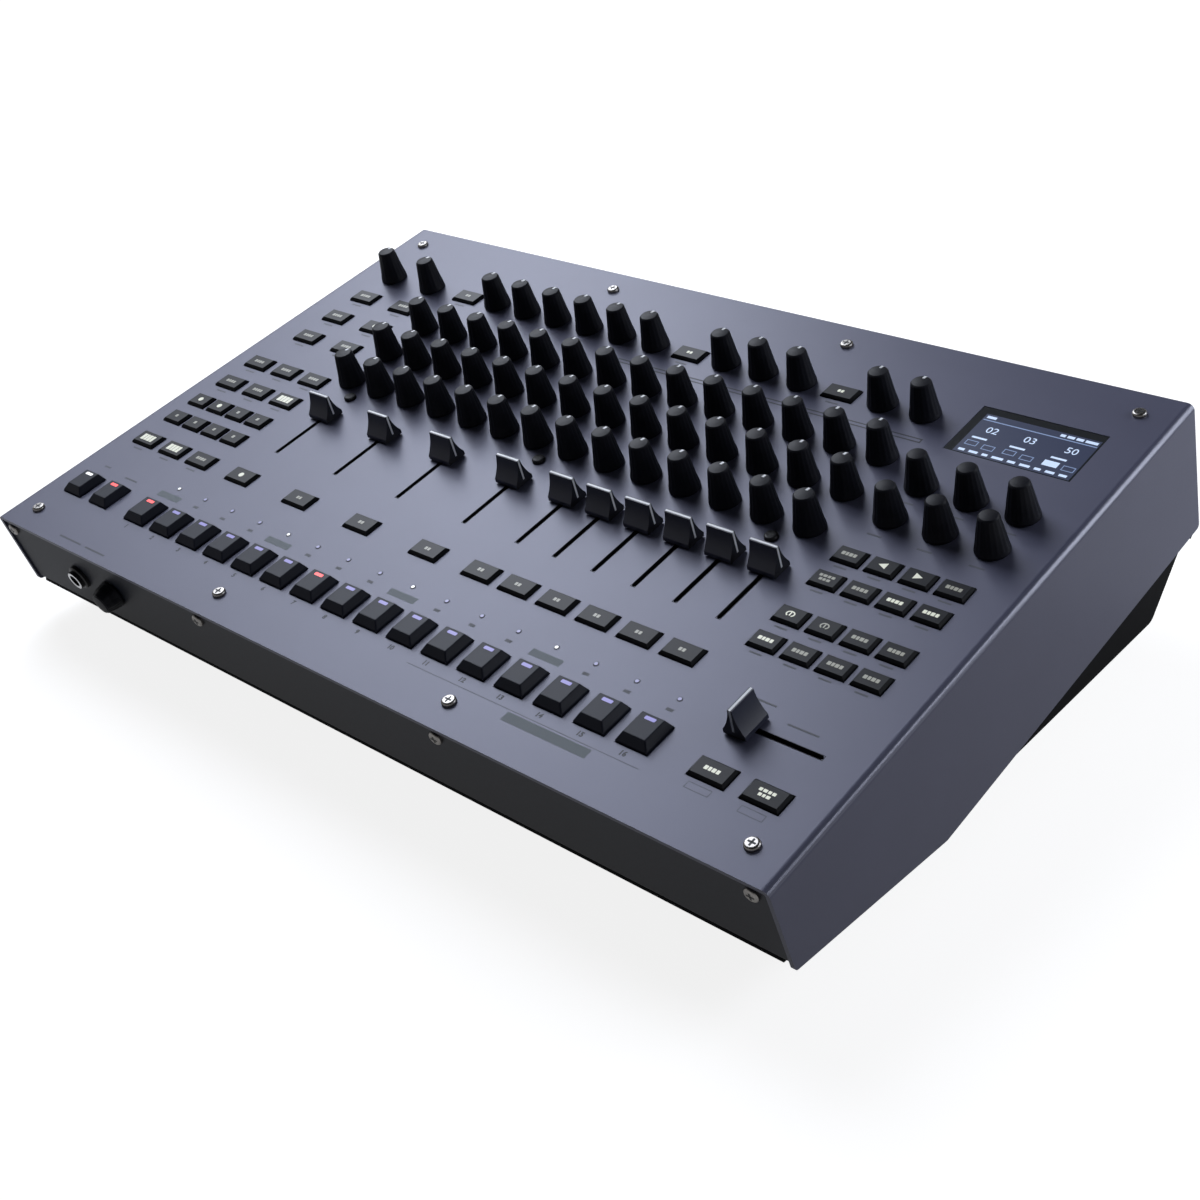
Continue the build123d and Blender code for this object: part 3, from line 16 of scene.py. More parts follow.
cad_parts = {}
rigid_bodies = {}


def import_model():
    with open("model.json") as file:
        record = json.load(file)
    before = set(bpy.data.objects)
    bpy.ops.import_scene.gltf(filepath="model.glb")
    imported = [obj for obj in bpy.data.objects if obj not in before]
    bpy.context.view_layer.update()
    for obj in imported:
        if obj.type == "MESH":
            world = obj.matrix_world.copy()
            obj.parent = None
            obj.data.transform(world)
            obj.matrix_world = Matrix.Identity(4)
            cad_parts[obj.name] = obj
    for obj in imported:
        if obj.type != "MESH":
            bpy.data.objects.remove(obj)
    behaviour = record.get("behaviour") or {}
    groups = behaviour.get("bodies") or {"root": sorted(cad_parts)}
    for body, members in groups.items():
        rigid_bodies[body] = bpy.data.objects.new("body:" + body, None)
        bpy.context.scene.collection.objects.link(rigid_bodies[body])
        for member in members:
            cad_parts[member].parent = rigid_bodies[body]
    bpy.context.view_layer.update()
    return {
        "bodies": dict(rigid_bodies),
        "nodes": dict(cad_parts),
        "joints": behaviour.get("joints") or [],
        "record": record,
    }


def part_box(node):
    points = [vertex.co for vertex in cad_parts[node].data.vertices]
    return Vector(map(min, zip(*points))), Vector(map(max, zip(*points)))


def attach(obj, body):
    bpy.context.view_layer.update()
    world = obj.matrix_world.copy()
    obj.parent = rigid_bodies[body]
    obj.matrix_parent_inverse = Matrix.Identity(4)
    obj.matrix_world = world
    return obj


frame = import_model()
MM = 0.001

# %% [markdown]
# ## The panel's own frame
# Almost everything here sits on a sloping panel. So all later cells measure as the panel's
# draughtsman would: x from the left edge, y up the slope from the front edge, z out of the panel,
# in millimetres. The slope could be typed in, but that would go wrong with the first change to
# the case. So a knob's joint gives the direction that stands square on the panel, and the cover's
# box gives its corner.

# %% Work out the panel frame from a knob's joint
joints = {joint["name"]: joint for joint in frame["joints"]}
panel_up = Vector(joints["top_knob_01_turn"]["axis"])
knob_spot = Vector(joints["top_knob_01_turn"]["pos_m"])
TILT = math.atan2(-panel_up.y, panel_up.z)
cover_low, cover_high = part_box("top_cover")
corner_height = knob_spot.z - (knob_spot.y - cover_low.y) * math.tan(TILT)
PANEL = (
    Matrix.Translation((cover_low.x, cover_low.y, corner_height))
    @ Matrix.Rotation(TILT, 4, "X")
    @ Matrix.Scale(MM, 4)
)
FROM_PANEL = PANEL.inverted()
case_width = (cover_high.x - cover_low.x) / MM
print(f"panel slope {math.degrees(TILT):.1f} degrees, case width {case_width:.0f} mm")

# %% [markdown]
# ## Where the separate pieces of a node are
# One node can hold sixteen keys, and each key gets its own window. The keys' places could be
# copied from the source of the solids, but a measured place can't go out of date. So a flood fill
# over the welded copy of a node's mesh finds each separate solid, and its box on the panel tells
# where a window or a symbol has to go.

# %% Find the separate solids of a node
SAME_SPOT = 1e-6


def solids_of(node, into=PANEL):
    """(lowest, highest) corner in a frame of every separate solid, from left to right."""
    from_world = into.inverted()
    mesh = bmesh.new()
    mesh.from_mesh(frame["nodes"][node].data)
    bmesh.ops.remove_doubles(mesh, verts=mesh.verts, dist=SAME_SPOT)
    waiting = set(mesh.verts)
    boxes = []
    while waiting:
        edge_of_flood = [waiting.pop()]
        spots = []
        while edge_of_flood:
            vertex = edge_of_flood.pop()
            spots.append(from_world @ vertex.co)
            for link in vertex.link_edges:
                other = link.other_vert(vertex)
                if other in waiting:
                    waiting.remove(other)
                    edge_of_flood.append(other)
        low = Vector(min(spot[axis] for spot in spots) for axis in range(3))
        high = Vector(max(spot[axis] for spot in spots) for axis in range(3))
        boxes.append((low, high))
    mesh.free()
    return sorted(boxes, key=lambda box: (round(box[0].x, 1), round(box[0].y, 1)))


def middle(box):
    """The middle of a solid's box across the panel, at the height of its top."""
    low, high = box
    return Vector(((low.x + high.x) / 2, (low.y + high.y) / 2, high.z))


step_keys = solids_of("step_keys")
transport_keys = solids_of("transport_keys")
print(len(step_keys), "step keys,", len(transport_keys), "transport keys")

# %% [markdown]
# ## The camera
# The instrument is seen from the front right and above, with the camera rolled a few degrees,
# which is how product pictures make a flat box look lively. The camera could be aimed at a point,
# but an aimed camera stands upright. So its three angles are given, the lens by its focal length
# in picture widths, and a shift that brings the instrument to the middle of the picture.

# %% Place the camera
CAMERA_PLACE = Vector((0.5365, -0.4956, 0.4576))
CAMERA_TURN = Euler([math.radians(angle) for angle in (62.9725, 6.3419, 42.1605)], "XYZ")
CAMERA_SHIFT = -0.125
CAMERA_SEES = (0.01, 50.0)
FOCAL_IN_WIDTHS = 1.47153
SENSOR = 36.0
scene = bpy.context.scene
camera_data = bpy.data.cameras.new("camera")
camera_data.sensor_width = SENSOR
camera_data.lens = SENSOR * FOCAL_IN_WIDTHS
camera_data.shift_y = CAMERA_SHIFT
camera_data.clip_start, camera_data.clip_end = CAMERA_SEES
camera = bpy.data.objects.new("camera", camera_data)
camera.location = CAMERA_PLACE
camera.rotation_euler = CAMERA_TURN
scene.collection.objects.link(camera)
scene.camera = camera
print("lens", round(camera_data.lens, 1), "mm")

# %% [markdown]
# ## Nodes in few words
# Shaders and Geometry Nodes are both built by adding a node and then filling its inputs, with a
# number or with what another node gives. One helper does both, so that the later cells read as
# a list of what each node gets.

# %% Add a node together with what feeds it
WHITE = (1, 1, 1, 1)


def add_node(tree, kind, inputs=None, operation=None):
    """A node whose inputs each get a value, or a link from another node's output."""
    node = tree.nodes.new(kind)
    if operation:
        node.operation = operation
    for socket, value in (inputs or {}).items():
        if isinstance(value, bpy.types.NodeSocket):
            tree.links.new(value, node.inputs[socket])
        else:
            node.inputs[socket].default_value = value
    return node


def node_tree(owner):
    """The emptied node tree of a material or a world."""
    owner.use_nodes = True
    owner.node_tree.nodes.clear()
    return owner.node_tree


def map_range(tree, value, start, end, low, high):
    """Turns values from start to end into values from low to high."""
    limits = {"From Min": start, "From Max": end, "To Min": low, "To Max": high}
    return add_node(tree, "ShaderNodeMapRange", {"Value": value, **limits}).outputs[0]


print("helpers for node trees: add_node, node_tree, map_range")

# %% [markdown]
# ## Light and backdrop
# A satin panel shows what stands above it as a soft sheen. One lamp overhead would light every
# side alike, so most of the light comes from the rear left, where the camera sees it mirrored in
# the panel: a bright lamp for the core of the sheen, a wide one around it, and a third nearer the
# front. The right side looks away from these three. A long low lamp at the rear right draws a line
# of light along the fold, and a small one lifts the rear of that side. The low part of the world
# is a white backdrop, which the camera sees in full and reflections see dimly. Diffuse light
# doesn't see it at all, so it doesn't make the object paler.

# %% Make the world
BACKDROP_TOP = 0.35
CEILING_START = 0.5
REFLECTED = 0.38
WORLD_LIGHT = (0.92, 0.95, 1.0)
WORLD_STRENGTH = 0.03


def seen_directly(tree):
    """A factor that is 1 for camera rays and REFLECTED for glossy and transmission rays."""
    path = add_node(tree, "ShaderNodeLightPath")
    total = path.outputs["Is Camera Ray"]
    for ray in ("Is Glossy Ray", "Is Transmission Ray"):
        share = add_node(tree, "ShaderNodeMath", {0: path.outputs[ray], 1: REFLECTED}, "MULTIPLY")
        larger = add_node(tree, "ShaderNodeMath", {0: total, 1: share.outputs[0]}, "MAXIMUM")
        total = larger.outputs[0]
    return total


def make_world(light, strength):
    """A dim studio with a white backdrop around it, which the camera and reflections see."""
    world = bpy.data.worlds.new("studio")
    tree = node_tree(world)
    glow = add_node(tree, "ShaderNodeBackground", {"Color": (*light, 1), "Strength": strength})
    white = add_node(tree, "ShaderNodeBackground", {"Color": WHITE, "Strength": 1.0})
    way = add_node(tree, "ShaderNodeTexCoord")
    split = add_node(tree, "ShaderNodeSeparateXYZ", {0: way.outputs["Generated"]})
    backdrop = map_range(tree, split.outputs["Z"], BACKDROP_TOP, CEILING_START, 1.0, 0.0)
    factor = add_node(tree, "ShaderNodeMath", {0: backdrop, 1: seen_directly(tree)}, "MULTIPLY")
    shares = {0: factor.outputs[0], 1: glow.outputs[0], 2: white.outputs[0]}
    mix = add_node(tree, "ShaderNodeMixShader", shares)
    add_node(tree, "ShaderNodeOutputWorld", {0: mix.outputs[0]})
    return world


scene.view_settings.view_transform = "Standard"
scene.world = make_world(WORLD_LIGHT, WORLD_STRENGTH)
print("world", scene.world.name)

# %% Hang the lamps
LAMP_COLOUR = (0.85, 0.9, 1.0)
PANEL_MIDDLE = (0, 0, 0.05)
RIGHT_FOLD = (0.24, 0.0, 0.08)
RIGHT_REAR = (0.24, 0.14, 0.08)
# each lamp's place, what it faces, its width and height, and its power in watts
LAMPS = {
    "key_lamp": ((-1.08, 0.86, 1.0), PANEL_MIDDLE, (0.7, 0.7), 4.6),
    "wide_lamp": ((-0.95, 0.42, 1.1), PANEL_MIDDLE, (1.0, 1.0), 11.0),
    "fill_lamp": ((-0.72, 0.25, 1.15), PANEL_MIDDLE, (0.5, 0.9), 4.4),
    "edge_lamp": ((0.78, 0.42, 0.5), RIGHT_FOLD, (0.8, 0.12), 1.9),
    "side_lamp": ((0.58, 0.4, 0.2), RIGHT_REAR, (0.2, 0.2), 0.62),
}


def soft_lamp(name, place, target, size, power):
    """An area lamp of a width and a height that faces a target."""
    data = bpy.data.lights.new(name, "AREA")
    data.shape = "RECTANGLE"
    data.size, data.size_y = size
    data.energy = power
    data.color = LAMP_COLOUR
    lamp = bpy.data.objects.new(name, data)
    lamp.visible_camera = False
    lamp.location = place
    lamp.rotation_euler = (Vector(target) - Vector(place)).to_track_quat("-Z", "Y").to_euler()
    scene.collection.objects.link(lamp)


for name, settings in LAMPS.items():
    soft_lamp(name, *settings)
print("lamps:", ", ".join(LAMPS))

# %% [markdown]
# ## The floor
# A product picture stands on a white table without a horizon. Plain white paint would need so much
# light that the instrument went pale too. So the floor's white is a glow that only the camera and
# reflections see, and the paint under it takes the lamps' light, and with it the shadow. Near the
# instrument the glow is a little under white, which leaves room for that paint; farther out it
# rises to full white, so that the floor runs into the backdrop without an edge.

# %% Lay the floor
FLOOR_SIZE = 12.0
FLOOR_PAINT = (0.4, 0.4, 0.4, 1)
GLOW_NEAR = 0.86
GLOW_FAR = 1.0
GLOW_START = 0.5
GLOW_END = 1.6


def link_object(name, data):
    """A new object at the origin."""
    piece = bpy.data.objects.new(name, data)
    scene.collection.objects.link(piece)
    return piece


def floor_white():
    """White paint under a glow that grows outwards."""
    material = bpy.data.materials.new("floor_white")
    tree = node_tree(material)
    paint = add_node(tree, "ShaderNodeBsdfDiffuse", {"Color": FLOOR_PAINT})
    place = add_node(tree, "ShaderNodeTexCoord")
    away = add_node(tree, "ShaderNodeVectorMath", {0: place.outputs["Object"]}, "LENGTH")
    rise = map_range(tree, away.outputs["Value"], GLOW_START, GLOW_END, GLOW_NEAR, GLOW_FAR)
    glow = add_node(tree, "ShaderNodeEmission", {"Strength": rise})
    dark = add_node(tree, "ShaderNodeEmission", {"Strength": 0.0})
    shares = {0: seen_directly(tree), 1: dark.outputs[0], 2: glow.outputs[0]}
    pick = add_node(tree, "ShaderNodeMixShader", shares)
    both = add_node(tree, "ShaderNodeAddShader", {0: paint.outputs[0], 1: pick.outputs[0]})
    add_node(tree, "ShaderNodeOutputMaterial", {0: both.outputs[0]})
    return material


half = FLOOR_SIZE / 2
corners = [(-half, -half, 0), (half, -half, 0), (half, half, 0), (-half, half, 0)]
floor_mesh = bpy.data.meshes.new("floor")
floor_mesh.from_pydata(corners, [], [(0, 1, 2, 3)])
floor_mesh.materials.append(floor_white())
link_object("floor", floor_mesh)
print("floor", FLOOR_SIZE, "m wide")

# %% [markdown]
# ## Finishes
# A moulded or painted surface is never one flat colour. A picture of real paint could be wrapped
# over it, but every piece would then need a layout of its own. So each finish here is worked out
# by nodes: a slow noise mixes two close colours, a fine noise varies the gloss, and the same fine
# noise raises a very small bump, which is powder grain on the sheet metal and spark-eroded grain
# on the plastics. The noises read Object coordinates, so the grain keeps its real scale on every
# piece.

# %% Make noises, ramps and shades
RAMP_ENDS = (0.35, 0.65)


def add_noise(tree, scale, detail):
    """A noise in object space, with about scale features per metre."""
    place = add_node(tree, "ShaderNodeTexCoord")
    settings = {"Vector": place.outputs["Object"], "Scale": scale, "Detail": detail}
    return add_node(tree, "ShaderNodeTexNoise", settings).outputs["Fac"]


def add_ramp(tree, factor, colours):
    """A ramp of two colours over the middle of a noise's range."""
    ramp = add_node(tree, "ShaderNodeValToRGB", {"Fac": factor})
    for element, position, colour in zip(ramp.color_ramp.elements, RAMP_ENDS, colours):
        element.position = position
        element.color = (*colour, 1)
    return ramp.outputs["Color"]


def shade(colour, share):
    """A colour made lighter or darker by a share."""
    return tuple(min(1.0, part * (1 + share)) for part in colour)


print("a ramp runs from", *RAMP_ENDS)

# %% Build one finish from its few numbers
PATCH_DETAIL = 3.0
GRAIN_DETAIL = 2.0
GRAIN_HEIGHT = 0.0002
GLOSS_SPREAD = 0.06
# how much of its light's colour a lens keeps as paint, so that it stays tinted and not white
LENS_PAINT = 0.25
LENS_ROUGHNESS = 0.35
FINISHES = {}


def new_finish(name):
    """A new material, kept in FINISHES: gives its emptied node tree."""
    FINISHES[name] = bpy.data.materials.new(name)
    return node_tree(FINISHES[name])


def end_in(tree, inputs):
    """Ends a material's tree in one shader with these inputs."""
    surface = add_node(tree, "ShaderNodeBsdfPrincipled", inputs)
    add_node(tree, "ShaderNodeOutputMaterial", {0: surface.outputs[0]})


def make_finish(
    name, colour, roughness, metallic=0.0, gleam=0.5, change=0.08,
    patch=25.0, grain=2500.0, bump=0.05,
):
    """A surface with slow colour change, uneven gloss and a fine grain.

    A gleam of 0.5 is a common plastic's. Patch and grain count the noises' features per metre.
    """
    tree = new_finish(name)
    slow = add_noise(tree, patch, PATCH_DETAIL)
    fine = add_noise(tree, grain, GRAIN_DETAIL)
    low, high = roughness - GLOSS_SPREAD, roughness + GLOSS_SPREAD
    relief = {"Strength": bump, "Distance": GRAIN_HEIGHT, "Height": fine}
    end_in(tree, {
        "Base Color": add_ramp(tree, slow, (shade(colour, -change), shade(colour, change))),
        "Metallic": metallic,
        "Specular IOR Level": gleam,
        "Roughness": map_range(tree, fine, 0.0, 1.0, low, high),
        "Normal": add_node(tree, "ShaderNodeBump", relief).outputs[0],
    })


def make_glow(name, colour, strength):
    """A lit lens or legend: dark tinted plastic that shines by itself."""
    end_in(new_finish(name), {
        "Base Color": (*shade(colour, LENS_PAINT - 1), 1),
        "Roughness": LENS_ROUGHNESS,
        "Emission Color": (*colour, 1),
        "Emission Strength": strength,
    })


print("a finish has two noises, of detail", PATCH_DETAIL, "and", GRAIN_DETAIL)

# %% Mix the paints, plastics and metals
PANEL_BLUE_GREY = (0.106, 0.109, 0.164)
CHASSIS_BLACK = (0.004, 0.004, 0.005)
FRONT_DARK = (0.012, 0.014, 0.023)
KNOB_BLACK = (0.011, 0.0115, 0.016)
KEY_DARK = (0.014, 0.016, 0.026)
BUTTON_DARK = (0.006, 0.0065, 0.008)
FADER_SLATE = (0.034, 0.037, 0.06)
SOCKET_BLACK = (0.01, 0.01, 0.011)
BOARD_GREEN = (0.015, 0.1, 0.045)
BRIGHT_ZINC = (0.3, 0.285, 0.27)
STEEL_GREY = (0.55, 0.55, 0.56)
ALUMINIUM = (0.45, 0.45, 0.46)
# a name, a colour and a roughness, then what differs from common plastic
make_finish("case_paint", PANEL_BLUE_GREY, 0.38, metallic=0.12, gleam=0.35, change=0.02, bump=0.08)
make_finish("chassis_paint", CHASSIS_BLACK, 0.6, gleam=0.05, grain=1800.0, bump=0.15)
make_finish("front_paint", FRONT_DARK, 0.5, gleam=0.26, change=0.04, bump=0.1)
make_finish("block_metal", STEEL_GREY, 0.35, metallic=1.0)
make_finish("screw_steel", BRIGHT_ZINC, 0.28, metallic=1.0, patch=400.0)
make_finish("foot_rubber", (0.012, 0.012, 0.012), 0.8, bump=0.2)
make_finish("display_body", (0.006, 0.006, 0.008), 0.35)
make_finish("circuit_board", BOARD_GREEN, 0.4)
make_finish("control_metal", ALUMINIUM, 0.35, metallic=1.0)
make_finish("switch_plastic", (0.02, 0.02, 0.02), 0.5)
make_finish("socket_plastic", SOCKET_BLACK, 0.42)
make_finish("socket_metal", STEEL_GREY, 0.3, metallic=1.0)
make_finish("rocker_plastic", (0.008, 0.008, 0.009), 0.25)
make_finish("knob_plastic", KNOB_BLACK, 0.42, gleam=0.12)
make_finish("encoder_plastic", KNOB_BLACK, 0.42, gleam=0.12)
make_finish("key_plastic", KEY_DARK, 0.42, gleam=0.15)
make_finish("button_plastic", BUTTON_DARK, 0.45, gleam=0.08)
make_finish("fader_plastic", FADER_SLATE, 0.42, gleam=0.4)
make_glow("light_pipe", (0.5, 0.52, 0.62), 0.05)
print(len(FINISHES), "finishes")


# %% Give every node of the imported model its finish
def coat(data, finish):
    """Gives a whole mesh one finish."""
    data.materials.clear()
    data.materials.append(FINISHES[finish])


coated = [part for part in frame["record"]["subparts"] if part["material_slot"] in FINISHES]
for part in coated:
    coat(frame["nodes"][part["node"]].data, part["material_slot"])
print(len(coated), "nodes with a finish")

# %% [markdown]
# ## One node tree for everything that repeats
# Windows, flutes, lights, symbols and screw recesses are each one small mesh set at many places.
# An array modifier could lay out a straight row, but the places here come in clouds and circles.
# So a tree takes a cloud of points and a piece, puts the piece on every point, turns each copy a
# step further than the one before where the piece goes around an axis, makes the copies real and
# gives them their finish. The modifier's result is then turned into a plain mesh.

# %% Build the tree that repeats a piece
TREE_INPUTS = {
    "Points": "NodeSocketGeometry",
    "Piece": "NodeSocketObject",
    "Step": "NodeSocketFloat",
    "Finish": "NodeSocketMaterial",
}


def build_repeat_tree():
    """Geometry Nodes: a copy of Piece on every point, each turned by Step, all in Finish."""
    tree = bpy.data.node_groups.new("repeat_piece", "GeometryNodeTree")
    for name, kind in TREE_INPUTS.items():
        tree.interface.new_socket(name, in_out="INPUT", socket_type=kind)
    tree.interface.new_socket("Result", in_out="OUTPUT", socket_type="NodeSocketGeometry")
    given = add_node(tree, "NodeGroupInput").outputs
    piece = add_node(tree, "GeometryNodeObjectInfo", {"Object": given["Piece"]})
    piece.transform_space = "ORIGINAL"
    index = add_node(tree, "GeometryNodeInputIndex")
    turn = {0: index.outputs[0], 1: given["Step"]}
    spin = add_node(tree, "ShaderNodeMath", turn, "MULTIPLY")
    about = add_node(tree, "ShaderNodeCombineXYZ", {"Z": spin.outputs[0]})
    stamp = {"Points": given["Points"], "Instance": piece.outputs["Geometry"]}
    stamp["Rotation"] = about.outputs[0]
    copies = add_node(tree, "GeometryNodeInstanceOnPoints", stamp)
    real = add_node(tree, "GeometryNodeRealizeInstances", {0: copies.outputs[0]})
    finish = {"Geometry": real.outputs[0], "Material": given["Finish"]}
    paint = add_node(tree, "GeometryNodeSetMaterial", finish)
    add_node(tree, "NodeGroupOutput", {0: paint.outputs[0]})
    return tree


REPEAT = build_repeat_tree()
print("tree", REPEAT.name, "with", len(REPEAT.nodes), "nodes")


# %% Make real copies of a piece, and let a piece ride on a body
def plain_mesh(holder):
    """What an object's modifiers or letters make, as a plain mesh."""
    graph = bpy.context.evaluated_depsgraph_get()
    return bpy.data.meshes.new_from_object(holder.evaluated_get(graph))


def real_copies(name, shape, places, finish, step=0.0):
    """Copies of a mesh at places, each turned by step more than the one before, as a plain mesh."""
    stamp = link_object(name + "_stamp", shape)
    points = bpy.data.meshes.new(name + "_points")
    points.from_pydata([tuple(place) for place in places], [], [])
    cloud = link_object(name + "_cloud", points)
    modifier = cloud.modifiers.new("repeat", "NODES")
    modifier.node_group = REPEAT
    values = {"Piece": stamp, "Step": step, "Finish": FINISHES[finish]}
    for item in REPEAT.interface.items_tree:
        if item.in_out == "INPUT" and item.name in values:
            modifier[item.identifier] = values[item.name]
    mesh = plain_mesh(cloud)
    cloud.modifiers.remove(modifier)
    for helper in (cloud, stamp):
        bpy.data.objects.remove(helper)
    mesh.name = name
    return mesh


def dress(name, mesh, body, onto=PANEL):
    """Puts a mesh drawn on the panel in its place, and lets it ride on a body."""
    mesh.transform(onto)
    mesh.update()
    piece = link_object(name, mesh)
    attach(piece, body)


def scatter(name, shape, places, finish, body, onto=PANEL):
    """Copies of a mesh at places, as one piece that rides on a body."""
    dress(name, real_copies(name, shape, places, finish), body, onto)


print("helpers for pieces: plain_mesh, real_copies, dress, scatter")

# %% [markdown]
# ## Small shapes
# The stamps that get repeated could be cut from Blender's ready-made cubes and cylinders, but
# a rounded corner or a turned-in edge would then take a modifier each. A few helpers draw them
# from numbers instead: a flat plate over any outline, a rounded rectangle, a circle, a lathe that
# turns an outline about an upright axis, and a strip that follows a bent line.

# %% Draw plates and circles
SAME_CORNER = 1e-7


def new_mesh(name, vertices, faces):
    """A mesh with its faces turned outwards."""
    mesh = bpy.data.meshes.new(name)
    mesh.from_pydata(vertices, [], faces)
    work = bmesh.new()
    work.from_mesh(mesh)
    bmesh.ops.remove_doubles(work, verts=work.verts, dist=SAME_CORNER)
    bmesh.ops.recalc_face_normals(work, faces=work.faces)
    work.to_mesh(mesh)
    work.free()
    return mesh


def wall(count):
    """The faces between one ring of count corners and the next."""
    return [(i, (i + 1) % count, count + (i + 1) % count, count + i) for i in range(count)]


def walls(count, rows):
    """The faces of a tube of several rings, one row after another."""
    return [tuple(row * count + i for i in face) for row in range(rows) for face in wall(count)]


def prism(name, outline, bottom, top, inset=0.0):
    """An upright prism over an outline, with its top edge pulled in by a share."""
    count = len(outline)
    centre = Vector((sum(x for x, y in outline), sum(y for x, y in outline))) / count
    lower = [(x, y, bottom) for x, y in outline]
    upper = [
        (x + (centre.x - x) * inset, y + (centre.y - y) * inset, top)
        for x, y in outline
    ]
    caps = [tuple(range(count))[::-1], tuple(range(count, 2 * count))]
    return new_mesh(name, lower + upper, wall(count) + caps)


def rounded(width, depth, corner, steps=4):
    """The outline of a rectangle with rounded corners, about the origin."""
    points = []
    for number, (side, row) in enumerate(((1, 1), (-1, 1), (-1, -1), (1, -1))):
        for part in range(steps + 1):
            angle = math.radians(90 * (number + part / steps))
            x = side * (width / 2 - corner) + corner * math.cos(angle)
            y = row * (depth / 2 - corner) + corner * math.sin(angle)
            points.append((x, y))
    return points


def ring(radius, count):
    """The outline of a circle about the origin."""
    turn = 2 * math.pi / count
    return [(radius * math.cos(turn * i), radius * math.sin(turn * i)) for i in range(count)]


print("helpers for plates: new_mesh, prism, rounded, ring")


# %% Turn a section about an axis, and bend a strip
def lathe(name, outline, count):
    """A closed outline of (radius, height) points turned about z."""
    vertices = []
    for radius, height in outline + outline[:1]:
        vertices += [(x, y, height) for x, y in ring(radius, count)]
    return new_mesh(name, vertices, walls(count, len(outline)))


def bent_strip(name, line, inside, width, along_x=False):
    """A strip that follows a bent line of (distance, height) points along y, or along x."""
    outline = line + inside[::-1]
    count = len(outline)
    spots = [(side, far, up) for side in (-width / 2, width / 2) for far, up in outline]
    if along_x:
        spots = [(far, side, up) for side, far, up in spots]
    faces = wall(count)
    for start in (0, count):
        faces += [
            (start + i, start + i + 1, start + count - 2 - i, start + count - 1 - i)
            for i in range(len(line) - 1)
        ]
    return new_mesh(name, spots, faces)


print("helpers for other solids: lathe, bent_strip")


# %% Join meshes, and move one
def joined(name, meshes):
    """Several meshes as one."""
    work = bmesh.new()
    for mesh in meshes:
        work.from_mesh(mesh)
    whole = bpy.data.meshes.new(name)
    work.to_mesh(whole)
    work.free()
    return whole


def moved(mesh, x, y, z=0.0, turn=0.0):
    """A mesh moved on the panel and turned about z."""
    mesh.transform(Matrix.Translation((x, y, z)) @ Matrix.Rotation(turn, 4, "Z"))
    return mesh


print("helpers for meshes: joined, moved")

# %% [markdown]
# ## Knobs
# The solid caps have the right taper and dome. What the hand feels are shallow flutes down the
# side, and what the eye reads is a white pointer over the rear rim. The flutes could be grooves
# cut into the cap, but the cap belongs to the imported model, so they are laid on it: one flute
# follows the cap's side through four heights, and the tree repeats it around the axis. The endless
# encoders have flutes but no pointer.

# %% Draw the flutes of a knob
# (radius, height) down the side of a cap, from the rim to the foot
CAP_SIDE = [(4.7, 17.4), (5.9, 9.1), (6.47, 5.2), (7.02, 2.6)]
ENCODER_SIDE = [(4.4, 16.9), (5.9, 8.9), (6.52, 5.1), (7.1, 2.6)]
FLUTES = 18
FLUTE_SHARE = 0.72
FLUTE_DEPTH = 0.1
FLUTE_SINK = 0.02
FLUTE_ROOT = 0.3
FLUTE_ACROSS = (-1, -0.5, 0, 0.5, 1)


def flute_mesh(side, count, depth):
    """One raised flute along (radius, height) points of a cap's side."""
    half = math.pi / count * FLUTE_SHARE
    vertices = []
    for radius, height in side:
        section = [(radius + depth * (1 - share**2) - FLUTE_SINK, share) for share in FLUTE_ACROSS]
        section += [(radius - FLUTE_ROOT, 1), (radius - FLUTE_ROOT, -1)]
        for reach, share in section:
            angle = half * share
            vertices.append((reach * math.cos(angle), reach * math.sin(angle), height))
    around = len(section)
    last = len(vertices) - around
    ends = [tuple(range(around)), tuple(range(last, last + around))]
    return new_mesh("flute", vertices, walls(around, len(side) - 1) + ends)


def flutes_mesh(name, side, finish, count=FLUTES, depth=FLUTE_DEPTH):
    """All flutes of one knob about the z axis."""
    turn = 2 * math.pi / count
    return real_copies(name, flute_mesh(side, count, depth), [(0, 0, 0)] * count, finish, turn)


print(FLUTES, "flutes on a cap")

# %% Draw a pointer
CAP_HEIGHT = 18.5
POINTER_WIDTH = 1.2
POINTER_REACH = 2.7
POINTER_BEND = 0.6
POINTER_DROP = 1.5
POINTER_DEPTH = 0.3
POINTER_PROUD = 0.07
DOME_FALL = (0.1, 0.4)


def pointer_mesh(side, height):
    """A white tick on the rear of a cap's top that bends down over the rim."""
    (rim, rim_height), (waist, waist_height) = side[:2]
    slope = (waist - rim) / (rim_height - waist_height)
    proud = rim + POINTER_PROUD
    line = [
        (rim - POINTER_REACH, height - DOME_FALL[0] + POINTER_PROUD),
        (rim - POINTER_BEND, height - DOME_FALL[1] + POINTER_PROUD),
        (proud, rim_height + DOME_FALL[0]),
        (proud + slope * POINTER_DROP + FLUTE_DEPTH, rim_height - POINTER_DROP),
    ]
    inside = [(y - POINTER_DEPTH, z - POINTER_DEPTH) for y, z in line]
    return bent_strip("pointer", line, inside, POINTER_WIDTH)


cap_pointer = pointer_mesh(CAP_SIDE, CAP_HEIGHT)
print("the pointer has", len(cap_pointer.polygons), "faces")

# %% Dress the top knobs and the encoders
POINTER_WHITE = (0.8, 0.81, 0.83)
make_finish("pointer_white", POINTER_WHITE, 0.4, change=0.02)


def joint_spot(name):
    """A joint's place in the panel's frame."""
    return FROM_PANEL @ Vector(joints[name]["pos_m"])


def bodies_of(kind):
    """The names of the bodies that start with a kind."""
    return sorted(name for name in frame["bodies"] if name.startswith(kind))


